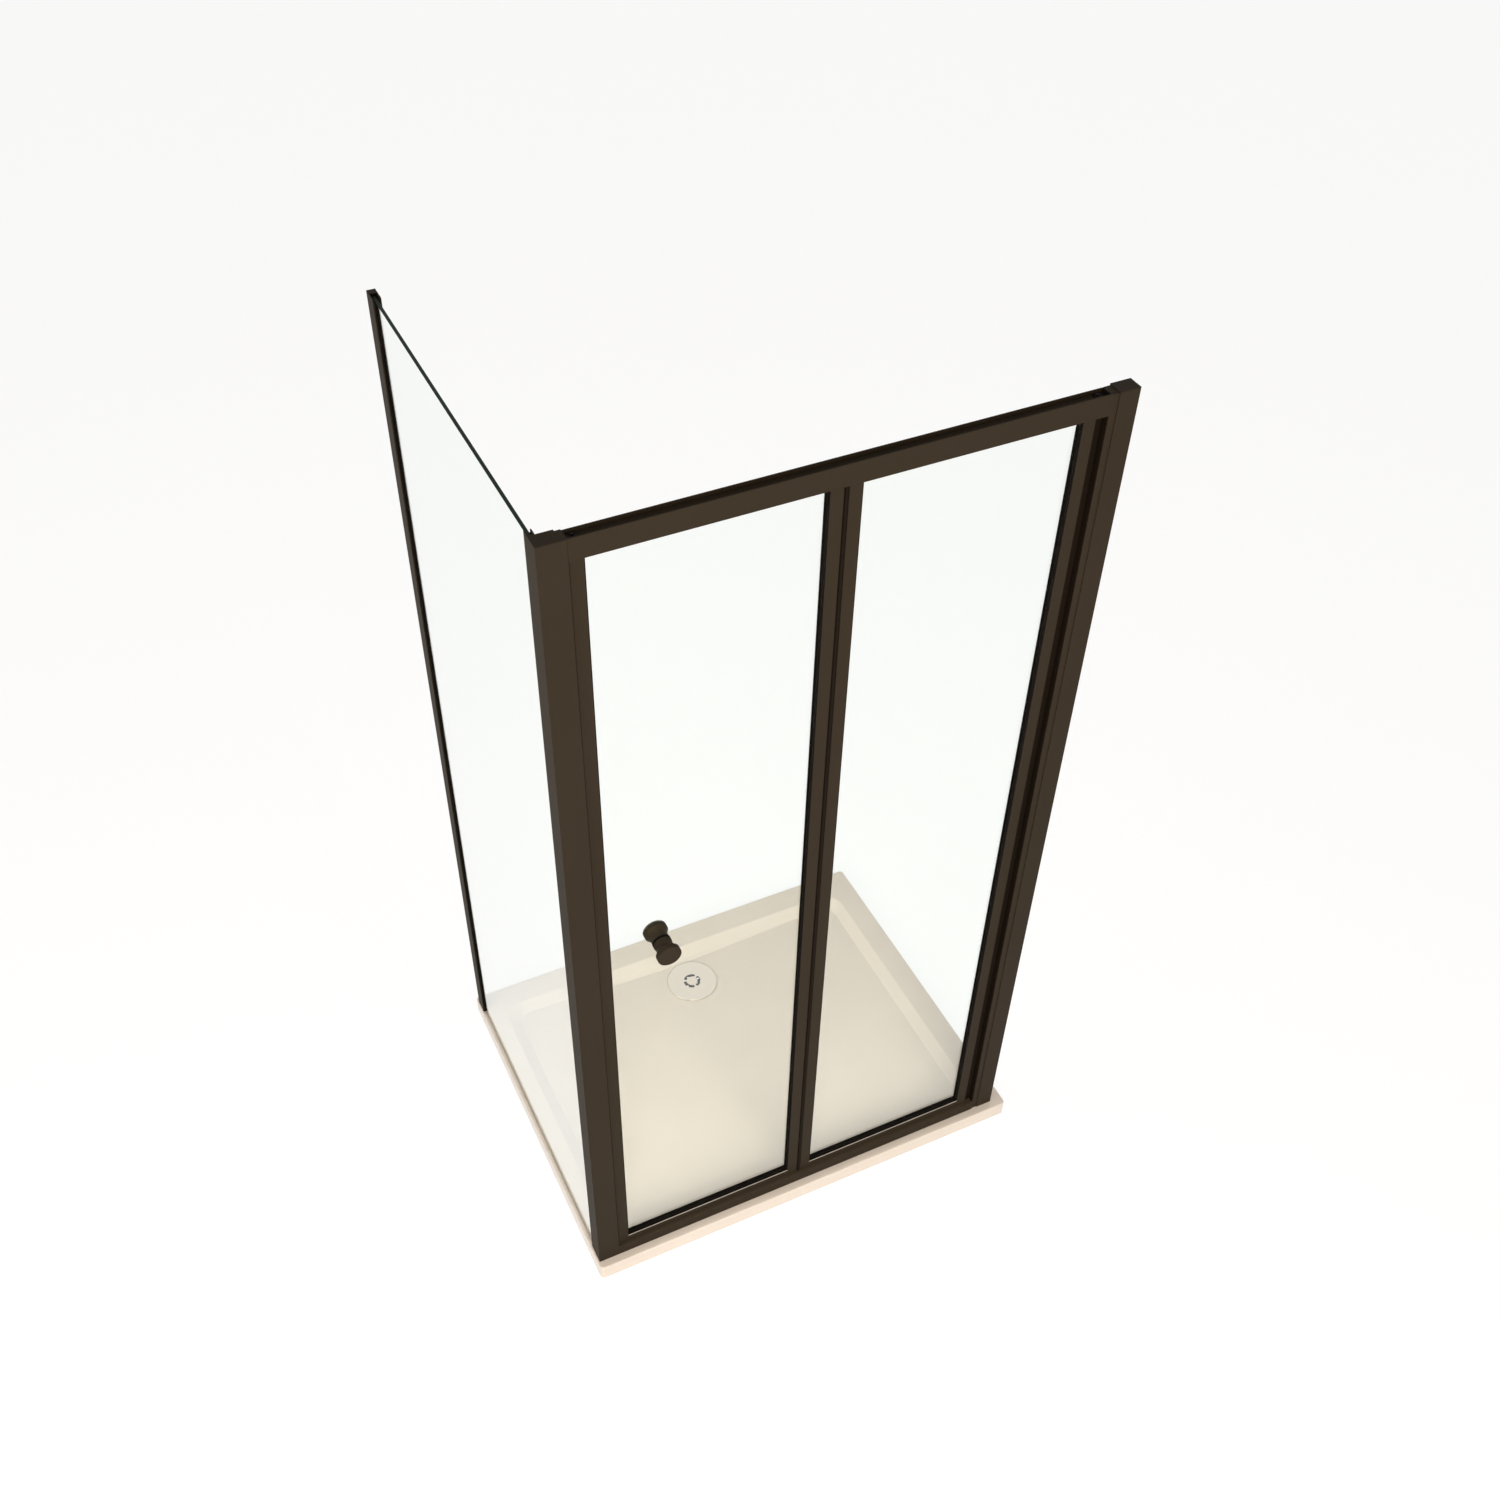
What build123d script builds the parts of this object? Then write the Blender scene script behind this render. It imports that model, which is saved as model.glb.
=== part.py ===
from build123d import *
import os

os.makedirs("parts", exist_ok=True)

# Shower enclosure with a two-leaf folding door, a fixed side panel and a shower tray.
# Millimetres. X runs along the door from the corner post to the wall, Y from the door to the
# back, Z up. The origin is the middle of the tray's underside.

# Tray
tray_length = 1000.0
tray_width = 800.0
tray_height = 40.0
tray_corner_radius = 10.0
tray_edge_radius = 3.0
tray_foot_chamfer = 2.0
rim_side = 54.0
rim_front = 54.0
rim_back = 60.0
basin_corner_radius = 45.0
floor_corner_radius = 32.0
basin_slope = 26.0
basin_depth = 15.0
basin_lip_radius = 5.0
basin_fall = 4.0
waste_from_back = 160.0
waste_level_width = 128.0

# Waste fitting
waste_hole_diameter = 90.0
waste_seat_diameter = 116.0
waste_seat_depth = 5.0
waste_recess_diameter = 112.0
waste_recess_depth = 8.0
waste_flange_diameter = 114.0
waste_flange_thickness = 2.5
waste_flange_chamfer = 1.2
waste_sleeve_diameter = 86.0
waste_bore_diameter = 78.0
waste_sleeve_foot = 1.0
waste_outlet_diameter = 76.0
waste_seal_thickness = 2.0
waste_seal_width = 10.0
waste_nut_diameter = 106.0
waste_nut_thickness = 6.0
waste_nut_notch = 8.0
waste_nut_notch_count = 6
strainer_clearance = 0.5
strainer_wall = 1.6
strainer_height = 11.0
strainer_rim_width = 3.0
strainer_hole_diameter = 6.0
strainer_hole_count = 12
strainer_hole_circle = 48.0
cover_diameter = 120.0
cover_thickness = 3.0
cover_edge_radius = 1.2
cover_lift = 2.0
cover_slot_circle = 34.0
cover_slot_width = 5.5
cover_slot_arc = 84.0
cover_slot_turn = -25.0
cover_slot_count = 3
cover_foot_diameter = 6.0
cover_foot_circle = 96.0

# Frame, standing on the tray's rim
frame_height = 1850.0
frame_left_inset = 4.5
frame_right_inset = 30.5
frame_front_inset = 18.0
frame_back_inset = 17.5
profile_wall = 1.6
profile_edge_radius = 0.8
cap_thickness = 2.0
cap_plug_depth = 8.0
fit_clearance = 0.2

# Corner post, which holds the side glass and stops the door
post_width = 46.0
post_depth = 29.0
post_strike_width = 9.0
post_strike_depth = 25.5
post_leg_depth = 14.0
glass_channel_width = 11.2
seal_slot_mouth = 4.0
seal_slot_width = 7.0
seal_slot_depth = 3.0
strike_seal_setback = 14.0
strike_seal_projection = 2.4
strike_seal_bulb = 5.2

# Wall profiles, which take up the play at the two walls
side_wall_profile_width = 15.0
side_wall_profile_depth = 34.0
door_wall_profile_width = 36.9
door_wall_profile_depth = 28.0
wall_hole_diameter = 5.0
wall_hole_end_distance = 125.0
wall_hole_count = 4

# Pivot jamb, which slides in the wall profile and carries the header and the sill
jamb_width = 12.2
jamb_insert_length = 20.0
jamb_cap_thickness = 1.5
stop_width = 14.0
stop_front = 15.0
stop_depth = 11.0
stop_cheek = 1.5
stop_cheek_front = 3.0
stop_seal_projection = 0.9
stop_seal_bulb = 5.2
jamb_screw_diameter = 3.5
jamb_screw_length = 9.0
jamb_screw_head_diameter = 7.0
jamb_screw_head_height = 2.2
jamb_screw_count = 3
jamb_screw_end_distance = 200.0

# Header and sill
header_height = 37.0
header_leaf_cover = 12.5
header_track_height = 11.0
header_web = 2.0
header_rear_drop = 4.3
header_end_gap = 0.6
sill_height = 25.5
sill_rear_height = 22.0
sill_track_depth = 12.0
sill_edge_radius = 1.5
track_width = 11.2
weep_slot_length = 20.0
weep_slot_width = 4.0
weep_slot_count = 4
weep_slot_pitch = 220.0
bracket_length = 20.0
bracket_height = 9.5
bracket_thickness = 2.0
bracket_width = 23.0
bracket_setback = 14.5
bracket_screw_rise = 5.5
bracket_screw_reach = 14.0
joint_screw_setback = 6.2
frame_screw_diameter = 3.4
frame_screw_length = 6.4
frame_screw_head_diameter = 6.4
frame_screw_head_height = 2.0

# Door leaves
leaf_setback = 8.4
leaf_thickness = 19.0
leaf_bottom_gap = 2.0
leaf_top_gap = 1.5
leading_gap = 3.0
pivot_gap = 3.4
fold_gap = 9.0
stile_width = 22.0
rail_width = 17.0
leaf_wall = 1.5
glazing_front_lip = 8.0
glazing_groove_depth = 8.0
glass_thickness = 6.0
glass_bite = 7.0
gasket_thickness = 1.0
gasket_lip = 1.0
leaf_screw_diameter = 3.4
leaf_screw_length = 34.0
leaf_screw_head_diameter = 6.0
leaf_screw_setback = 5.0
leaf_screw_clearance = 0.2
screw_port_wall = 1.2
countersink_half_angle = 41.0
drip_seal_width = 5.6
drip_seal_setback = 1.0
drip_seal_gap = 0.5

# Pivots, guides and the fold hinge
pivot_edge_distance = 8.0
pivot_depth = 13.0
pivot_pin_diameter = 6.0
pivot_pin_length = 10.0
pivot_pin_engagement = 25.0
pivot_bush_length = 20.0
pivot_collar_diameter = 10.6
pivot_collar_height = 2.3
bearing_gap = 0.2
running_clearance = 0.05
guide_pin_diameter = 5.0
guide_pin_length = 10.6
guide_head_diameter = 7.5
guide_head_height = 1.0
roller_diameter = 10.0
roller_height = 7.0
roller_play = 0.3
plug_length = 30.0
hinge_axis_setback = 0.5
hinge_strip_thickness = 1.2
hinge_strip_front = 1.0
hinge_strip_back = 16.0
hinge_slot_setback = 11.6
hinge_foot_thickness = 1.5
knuckle_diameter = 5.0
knuckle_web = 2.0
knuckle_count = 13
knuckle_play = 0.5
hinge_rod_diameter = 2.6

# Knob pair, clamped through the leading leaf's glass
knob_from_post = 126.0
knob_height = 940.0
knob_length = 32.0
knob_head_diameter = 45.0
knob_head_start = 22.0
knob_face_edge = 31.0
knob_face_radius = 21.5
knob_waist_diameter = 33.0
knob_waist_reach = 9.5
knob_foot_diameter = 35.0
knob_foot_length = 1.5
knob_stud_diameter = 6.0
knob_stud_engagement = 14.0
knob_glass_hole = 12.0
knob_washer_thickness = 1.0

# Side glass
side_glass_top_gap = 3.0
side_glass_bottom_gap = 2.0
side_glass_front_play = 1.5
side_glass_wall_play = 12.0
silicone_bead = 4.0

# Places that follow from these sizes
frame_width = tray_length - frame_left_inset - frame_right_inset
frame_depth = tray_width - frame_front_inset - frame_back_inset
frame_left = -tray_length / 2 + frame_left_inset
frame_front = -tray_width / 2 + frame_front_inset
profile_height = frame_height - cap_thickness
leg_back = post_depth + post_leg_depth
strike_left = post_width - post_strike_width
door_profile_left = frame_width - door_wall_profile_width
jamb_left = door_profile_left - jamb_width
stop_left = jamb_left - stop_width
opening_length = jamb_left - post_width
header_bottom = frame_height - header_height
header_track_mouth = header_bottom + header_leaf_cover
header_web_bottom = header_track_mouth + header_track_height
header_web_top = header_web_bottom + header_web
leaf_back = leaf_setback + leaf_thickness
leaf_bottom = sill_height + leaf_bottom_gap
leaf_top = header_track_mouth - leaf_top_gap
leaf_height = leaf_top - leaf_bottom
leading_left = post_width + leading_gap
pivot_right = stop_left - pivot_gap
leaf_width = (pivot_right - leading_left - fold_gap) / 2
leading_right = leading_left + leaf_width
pivot_left = leading_right + fold_gap
pivot_x = pivot_right - pivot_edge_distance
guide_x = leading_left + pivot_edge_distance
pivot_y = leaf_setback + pivot_depth
hinge_x = leading_right + fold_gap / 2
hinge_y = leaf_setback + hinge_axis_setback
track_front = pivot_y - track_width / 2
track_back = pivot_y + track_width / 2
groove_front = leaf_setback + glazing_front_lip
groove_back = groove_front + glass_thickness + 2 * gasket_thickness
glass_front = groove_front + gasket_thickness
glass_back = glass_front + glass_thickness
track_floor = sill_height - sill_track_depth
track_floor_bottom = track_floor - header_web


def level(z):
    """A level plane at a height above the tray's rim, drawn from the frame's front left corner."""
    return Plane(origin=(frame_left, frame_front, tray_height + z))


def across(x):
    """An upright plane across the door: local x is Y, local y is Z, and it faces +X."""
    return Plane(origin=(frame_left + x, frame_front, tray_height), x_dir=(0, 1, 0), z_dir=(1, 0, 0))


def along(y):
    """An upright plane along the door: local x is X, local y is Z, and it faces -Y."""
    return Plane(origin=(frame_left, frame_front + y, tray_height), x_dir=(1, 0, 0), z_dir=(0, -1, 0))


def box_between(x, y, mode=Mode.ADD):
    """A rectangle in the open sketch, given by its two spans."""
    with Locations(((x[0] + x[1]) / 2, (y[0] + y[1]) / 2)):
        Rectangle(abs(x[1] - x[0]), abs(y[1] - y[0]), mode=mode)


def seal_slot(face, middle, inward):
    """A T-shaped slot in the open sketch: its mouth is in the wall at face and points outward."""
    mouth = face + inward * profile_wall
    floor = mouth + inward * seal_slot_depth
    box_between((face, mouth), (middle - seal_slot_mouth / 2, middle + seal_slot_mouth / 2), Mode.SUBTRACT)
    box_between((mouth, floor), (middle - seal_slot_width / 2, middle + seal_slot_width / 2), Mode.SUBTRACT)


def slot_foot(face, middle, inward):
    """The foot that slides in that slot, smaller than it by the fit clearance on each side."""
    mouth = face + inward * (profile_wall + fit_clearance)
    floor = face + inward * (profile_wall + seal_slot_depth - fit_clearance)
    neck = seal_slot_mouth / 2 - fit_clearance
    foot = seal_slot_width / 2 - fit_clearance
    box_between((face, floor), (middle - neck, middle + neck))
    box_between((mouth, floor), (middle - foot, middle + foot))


# Shower tray: cast stone resin with a raised rim and a basin that falls to the waste
basin_length = tray_length - 2 * rim_side
basin_width = tray_width - rim_front - rim_back
basin_middle = (rim_front - rim_back) / 2
floor_length = basin_length - 2 * basin_slope
floor_width = basin_width - 2 * basin_slope
floor_top = tray_height - basin_depth
waste_y = tray_width / 2 - waste_from_back
waste_floor = floor_top - basin_fall
waste_seat = waste_floor - waste_seat_depth
waste_plane = Plane(origin=(0, waste_y, 0))
waste_axis = Axis((0, waste_y, 0), (0, 0, 1))

with BuildPart() as shower_tray:
    with BuildSketch():
        RectangleRounded(tray_length, tray_width, tray_corner_radius)
    extrude(amount=tray_height)
    fillet(shower_tray.faces().sort_by(Axis.Z)[-1].edges(), tray_edge_radius)
    chamfer(shower_tray.faces().sort_by(Axis.Z)[0].edges(), tray_foot_chamfer)
    with BuildSketch(Plane.XY.offset(tray_height)):
        with Locations((0, basin_middle)):
            RectangleRounded(basin_length, basin_width, basin_corner_radius)
    with BuildSketch(Plane.XY.offset(floor_top)):
        with Locations((0, basin_middle)):
            RectangleRounded(floor_length, floor_width, floor_corner_radius)
    loft(mode=Mode.SUBTRACT)
    with BuildSketch(Plane.XY.offset(floor_top)):
        with Locations((0, basin_middle)):
            RectangleRounded(floor_length, floor_width, floor_corner_radius)
    with BuildSketch(Plane.XY.offset(waste_floor)):
        with Locations((0, waste_y)):
            RectangleRounded(waste_level_width, waste_level_width, floor_corner_radius)
    loft(mode=Mode.SUBTRACT)
    lip_span_x = (-tray_length / 2 + rim_side / 2, tray_length / 2 - rim_side / 2)
    lip_span_y = (-tray_width / 2 + rim_front / 2, tray_width / 2 - rim_back / 2)
    rim_edges = shower_tray.edges().group_by(Axis.Z)[-1]
    fillet(rim_edges.filter_by_position(Axis.X, *lip_span_x).filter_by_position(Axis.Y, *lip_span_y),
           basin_lip_radius)
    with Locations(waste_plane.offset(waste_seat)):
        Hole(waste_hole_diameter / 2)
        with Locations((0, 0, basin_depth)):
            Hole(waste_seat_diameter / 2, depth=basin_depth)
    with BuildSketch(waste_plane):
        Circle(waste_recess_diameter / 2)
    extrude(amount=waste_recess_depth, mode=Mode.SUBTRACT)
shower_tray.part.label = "shower_tray"
export_step(shower_tray.part, "parts/shower_tray.step")

# Waste seal: a rubber ring under the flange
seal_top = waste_seat + waste_seal_thickness
seal_outer = waste_flange_diameter / 2 - waste_flange_chamfer
flange_top = seal_top + waste_flange_thickness
cup_floor = flange_top - strainer_height
with BuildPart() as waste_seal:
    with BuildSketch(waste_plane.offset(waste_seat)):
        Circle(seal_outer)
        Circle(seal_outer - waste_seal_width, mode=Mode.SUBTRACT)
    extrude(amount=waste_seal_thickness)
waste_seal.part.label = "waste_seal"
export_step(waste_seal.part, "parts/waste_seal.step")

# Waste flange: a turned ring with a ledge for the strainer and a sleeve that takes the trap
with BuildPart() as waste_flange:
    with BuildSketch(Plane.XZ.offset(-waste_y)):
        with BuildLine():
            Polyline((waste_outlet_diameter / 2, waste_sleeve_foot),
                     (waste_sleeve_diameter / 2, waste_sleeve_foot),
                     (waste_sleeve_diameter / 2, seal_top),
                     (waste_flange_diameter / 2, seal_top),
                     (waste_flange_diameter / 2, flange_top - waste_flange_chamfer),
                     (waste_flange_diameter / 2 - waste_flange_chamfer, flange_top),
                     (waste_bore_diameter / 2, flange_top),
                     (waste_bore_diameter / 2, cup_floor),
                     (waste_outlet_diameter / 2, cup_floor),
                     close=True)
        make_face()
    revolve(axis=waste_axis)
waste_flange.part.label = "waste_flange"
export_step(waste_flange.part, "parts/waste_flange.step")

# Lock nut: it draws the flange down from the recess under the tray
with BuildPart() as waste_lock_nut:
    with BuildSketch(waste_plane.offset(waste_recess_depth)):
        Circle(waste_nut_diameter / 2)
        Circle(waste_sleeve_diameter / 2, mode=Mode.SUBTRACT)
        with PolarLocations(waste_nut_diameter / 2, waste_nut_notch_count):
            Rectangle(waste_nut_notch, waste_nut_notch, mode=Mode.SUBTRACT)
    extrude(amount=-waste_nut_thickness)
waste_lock_nut.part.label = "waste_lock_nut"
export_step(waste_lock_nut.part, "parts/waste_lock_nut.step")

# Strainer: a lift-out cup that hangs in the flange by its rim
cup_radius = waste_bore_diameter / 2 - strainer_clearance
cup_rim = flange_top + strainer_wall
with BuildPart() as waste_strainer:
    with BuildSketch(Plane.XZ.offset(-waste_y)):
        with BuildLine():
            Polyline((0, cup_floor),
                     (cup_radius, cup_floor),
                     (cup_radius, flange_top),
                     (cup_radius + strainer_rim_width, flange_top),
                     (cup_radius + strainer_rim_width, cup_rim),
                     (cup_radius - strainer_wall, cup_rim),
                     (cup_radius - strainer_wall, cup_floor + strainer_wall),
                     (0, cup_floor + strainer_wall),
                     close=True)
        make_face()
    revolve(axis=waste_axis)
    with BuildSketch(waste_plane.offset(cup_floor)):
        with PolarLocations(strainer_hole_circle / 2, strainer_hole_count):
            Circle(strainer_hole_diameter / 2)
        with PolarLocations(strainer_hole_circle / 4, strainer_hole_count // 2):
            Circle(strainer_hole_diameter / 2)
    extrude(amount=strainer_wall, mode=Mode.SUBTRACT)
waste_strainer.part.label = "waste_strainer"
export_step(waste_strainer.part, "parts/waste_strainer.step")

# Waste cover: a polished disc on three feet, with three arc slots round its middle
cover_bottom = flange_top + cover_lift
slot_radius = cover_slot_circle / 2
with BuildPart() as waste_cover:
    with BuildSketch(waste_plane.offset(cover_bottom)):
        Circle(cover_diameter / 2)
    extrude(amount=cover_thickness)
    fillet(waste_cover.edges().group_by(Axis.Z)[-1], cover_edge_radius)
    with BuildSketch(waste_plane.offset(cover_bottom)):
        with BuildLine(mode=Mode.PRIVATE) as slot_line:
            CenterArc((0, 0), slot_radius, cover_slot_turn - cover_slot_arc / 2, cover_slot_arc)
        with PolarLocations(0, cover_slot_count):
            SlotArc(slot_line.edge(), cover_slot_width)
    extrude(amount=cover_thickness, mode=Mode.SUBTRACT)
    with BuildSketch(waste_plane.offset(flange_top)):
        with PolarLocations(cover_foot_circle / 2, cover_slot_count):
            Circle(cover_foot_diameter / 2)
    extrude(amount=cover_lift)
waste_cover.part.label = "waste_cover"
export_step(waste_cover.part, "parts/waste_cover.step")

# Corner post: an extrusion with a front box, a strike edge and a leg that holds the side glass
post_outline = [(0, 0),
                (post_width, 0),
                (post_width, post_strike_depth),
                (strike_left, post_strike_depth),
                (strike_left, post_depth),
                (glass_channel_width, post_depth),
                (glass_channel_width, leg_back),
                (0, leg_back)]
chamber_right = strike_left - profile_wall
chamber_back = post_depth - profile_wall
strike_slot_floor = post_width - profile_wall - seal_slot_depth
strike_rib = strike_slot_floor - profile_wall
strike_chamber_right = post_width - profile_wall
strike_slot_front = strike_seal_setback - seal_slot_width / 2
strike_slot_back = strike_seal_setback + seal_slot_width / 2
channel_inside = (profile_wall, glass_channel_width - profile_wall)
joint_screw_heights = (track_floor_bottom - bracket_screw_rise, header_web_top + bracket_screw_rise)
with BuildPart() as corner_post:
    with BuildSketch(level(0)):
        with BuildLine():
            Polyline(*post_outline, close=True)
        make_face()
        box_between((profile_wall, chamber_right), (profile_wall, chamber_back), Mode.SUBTRACT)
        box_between((chamber_right, strike_rib), (profile_wall, post_strike_depth - profile_wall),
                    Mode.SUBTRACT)
        box_between((strike_rib, strike_chamber_right), (profile_wall, strike_slot_front - profile_wall),
                    Mode.SUBTRACT)
        box_between((strike_rib, strike_chamber_right),
                    (strike_slot_back + profile_wall, post_strike_depth - profile_wall), Mode.SUBTRACT)
        box_between(channel_inside, (post_depth, leg_back), Mode.SUBTRACT)
        seal_slot(post_width, strike_seal_setback, -1)
    extrude(amount=profile_height)
    fillet(corner_post.edges().filter_by(Axis.Z).group_by(Axis.Y)[0], profile_edge_radius)
    with BuildSketch(across(post_width)):
        with Locations(*[(joint_screw_setback, z) for z in joint_screw_heights]):
            Circle(frame_screw_diameter / 2)
    extrude(amount=-profile_wall, mode=Mode.SUBTRACT)
corner_post.part.label = "corner_post"
export_step(corner_post.part, "parts/corner_post.step")

# Post cap: a moulded lid with a plug in the post's chamber
with BuildPart() as corner_post_cap:
    with BuildSketch(level(profile_height)):
        with BuildLine():
            Polyline(*post_outline, close=True)
        make_face()
        box_between(channel_inside, (post_depth + profile_wall, leg_back), Mode.SUBTRACT)
    extrude(amount=cap_thickness)
    with BuildSketch(level(profile_height)):
        box_between((profile_wall + fit_clearance, chamber_right - fit_clearance),
                    (profile_wall + fit_clearance, chamber_back - fit_clearance))
    extrude(amount=-cap_plug_depth)
corner_post_cap.part.label = "corner_post_cap"
export_step(corner_post_cap.part, "parts/corner_post_cap.step")

# Side wall profile: a channel on the back wall that takes the side glass's rear edge
side_glass_middle = glass_channel_width / 2
side_glass_faces = (side_glass_middle - glass_thickness / 2, side_glass_middle + glass_thickness / 2)
side_profile_faces = (side_glass_middle - side_wall_profile_width / 2,
                      side_glass_middle + side_wall_profile_width / 2)
side_profile_inside = (side_profile_faces[0] + profile_wall, side_profile_faces[1] - profile_wall)
side_profile_front = frame_depth - side_wall_profile_depth
wall_hole_pitch = (profile_height - 2 * wall_hole_end_distance) / (wall_hole_count - 1)
with BuildPart() as side_wall_profile:
    with BuildSketch(level(0)):
        box_between(side_profile_faces, (side_profile_front, frame_depth))
        box_between(side_profile_inside, (side_profile_front, frame_depth - profile_wall), Mode.SUBTRACT)
    extrude(amount=profile_height)
    with BuildSketch(along(frame_depth)):
        with Locations((side_glass_middle, profile_height / 2)):
            with GridLocations(wall_hole_pitch, wall_hole_pitch, 1, wall_hole_count):
                Circle(wall_hole_diameter / 2)
    extrude(amount=profile_wall, mode=Mode.SUBTRACT)
side_wall_profile.part.label = "side_wall_profile"
export_step(side_wall_profile.part, "parts/side_wall_profile.step")

with BuildPart() as side_wall_profile_cap:
    with BuildSketch(level(profile_height)):
        box_between(side_profile_faces, (side_profile_front, frame_depth))
        box_between(side_profile_inside, (side_profile_front, frame_depth - side_glass_wall_play),
                    Mode.SUBTRACT)
    extrude(amount=cap_thickness)
side_wall_profile_cap.part.label = "side_wall_profile_cap"
export_step(side_wall_profile_cap.part, "parts/side_wall_profile_cap.step")

# Side glass: one fixed pane between the post's leg and the wall profile
side_glass_front = post_depth + side_glass_front_play
side_glass_back = frame_depth - side_glass_wall_play
side_glass_height = profile_height - side_glass_top_gap - side_glass_bottom_gap
with BuildPart() as side_glass:
    with BuildSketch(level(side_glass_bottom_gap)):
        box_between(side_glass_faces, (side_glass_front, side_glass_back))
    extrude(amount=side_glass_height)
    chamfer(side_glass.edges().filter_by(Axis.Y), profile_edge_radius)
side_glass.part.label = "side_glass"
export_step(side_glass.part, "parts/side_glass.step")

# Glazing wedges: black rubber strips each side of the side glass, in the post and in the profile
with BuildPart() as side_glazing_wedges:
    with BuildSketch(level(side_glass_bottom_gap)):
        box_between((channel_inside[0], side_glass_faces[0]), (side_glass_front, leg_back))
        box_between((side_glass_faces[1], channel_inside[1]), (side_glass_front, leg_back))
        box_between((side_profile_inside[0], side_glass_faces[0]), (side_profile_front, side_glass_back))
        box_between((side_glass_faces[1], side_profile_inside[1]), (side_profile_front, side_glass_back))
    extrude(amount=side_glass_height)
side_glazing_wedges.part.label = "side_glazing_wedges"
export_step(side_glazing_wedges.part, "parts/side_glazing_wedges.step")

# Silicone bead: the clear bed that the side glass stands on, with a fillet on the wet side
with BuildPart() as side_glass_bead:
    with BuildSketch(along(leg_back)):
        with BuildLine():
            Polyline((side_glass_faces[0], 0),
                     (side_glass_faces[1] + silicone_bead, 0),
                     (side_glass_faces[1], silicone_bead),
                     (side_glass_faces[1], side_glass_bottom_gap),
                     (side_glass_faces[0], side_glass_bottom_gap),
                     close=True)
        make_face()
    extrude(amount=leg_back - side_profile_front)
side_glass_bead.part.label = "side_glass_bead"
export_step(side_glass_bead.part, "parts/side_glass_bead.step")

# Strike seal: a rubber bulb in the post's slot that meets the leading leaf's front edge
strike_seal_height = header_track_mouth - sill_height
with BuildPart() as strike_seal:
    with BuildSketch(level(sill_height)):
        slot_foot(post_width, strike_seal_setback, -1)
        box_between((post_width, post_width + strike_seal_projection),
                    (strike_seal_setback - strike_seal_bulb / 2, strike_seal_setback + strike_seal_bulb / 2))
    extrude(amount=strike_seal_height)
    fillet(strike_seal.edges().filter_by(Axis.Z).group_by(Axis.X)[-1], profile_edge_radius)
strike_seal.part.label = "strike_seal"
export_step(strike_seal.part, "parts/strike_seal.step")

# Door wall profile: a wide channel on the door-side wall
insert_front = profile_wall + fit_clearance
insert_back = door_wall_profile_depth - profile_wall - fit_clearance
insert_right = door_profile_left + jamb_insert_length
jamb_screw_x = door_profile_left + jamb_insert_length / 2
jamb_screw_pitch = (profile_height - 2 * jamb_screw_end_distance) / (jamb_screw_count - 1)
with BuildPart() as door_wall_profile:
    with BuildSketch(level(0)):
        box_between((door_profile_left, frame_width), (0, door_wall_profile_depth))
        box_between((door_profile_left, frame_width - profile_wall),
                    (profile_wall, door_wall_profile_depth - profile_wall), Mode.SUBTRACT)
    extrude(amount=profile_height)
    with BuildSketch(across(frame_width)):
        with Locations((door_wall_profile_depth / 2, profile_height / 2)):
            with GridLocations(wall_hole_pitch, wall_hole_pitch, 1, wall_hole_count):
                Circle(wall_hole_diameter / 2)
    extrude(amount=-profile_wall, mode=Mode.SUBTRACT)
    with BuildSketch(along(door_wall_profile_depth)):
        with Locations((jamb_screw_x, profile_height / 2)):
            with GridLocations(jamb_screw_pitch, jamb_screw_pitch, 1, jamb_screw_count):
                Circle(jamb_screw_diameter / 2)
    extrude(amount=profile_wall, mode=Mode.SUBTRACT)
door_wall_profile.part.label = "door_wall_profile"
export_step(door_wall_profile.part, "parts/door_wall_profile.step")

# Pivot jamb: a closed extrusion that slides in the wall profile and shows a narrow strip, set back
# from the profile's front by its wall
stop_middle = stop_front + stop_depth / 2
jamb_slot_front = stop_middle - seal_slot_width / 2
jamb_slot_floor = jamb_left + profile_wall + seal_slot_depth
jamb_height = profile_height - jamb_cap_thickness
with BuildPart() as pivot_jamb:
    with BuildSketch(level(0)):
        box_between((jamb_left, insert_right), (insert_front, insert_back))
        box_between((jamb_left + profile_wall, door_profile_left - profile_wall),
                    (insert_front + profile_wall, jamb_slot_front - profile_wall), Mode.SUBTRACT)
        box_between((jamb_slot_floor + profile_wall, door_profile_left - profile_wall),
                    (insert_front + profile_wall, insert_back - profile_wall), Mode.SUBTRACT)
        box_between((door_profile_left, insert_right - profile_wall),
                    (insert_front + profile_wall, insert_back - profile_wall), Mode.SUBTRACT)
        seal_slot(jamb_left, stop_middle, 1)
    extrude(amount=jamb_height)
    fillet(pivot_jamb.edges().filter_by(Axis.Z).group_by(Axis.Y)[0].sort_by(Axis.X)[0], profile_edge_radius)
    with BuildSketch(along(insert_back)):
        with Locations((jamb_screw_x, profile_height / 2)):
            with GridLocations(jamb_screw_pitch, jamb_screw_pitch, 1, jamb_screw_count):
                Circle(jamb_screw_diameter / 2)
    extrude(amount=profile_wall, mode=Mode.SUBTRACT)
    with BuildSketch(across(jamb_left)):
        with Locations(*[(joint_screw_setback, z) for z in joint_screw_heights]):
            Circle(frame_screw_diameter / 2)
    extrude(amount=profile_wall, mode=Mode.SUBTRACT)
pivot_jamb.part.label = "pivot_jamb"
export_step(pivot_jamb.part, "parts/pivot_jamb.step")

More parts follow.
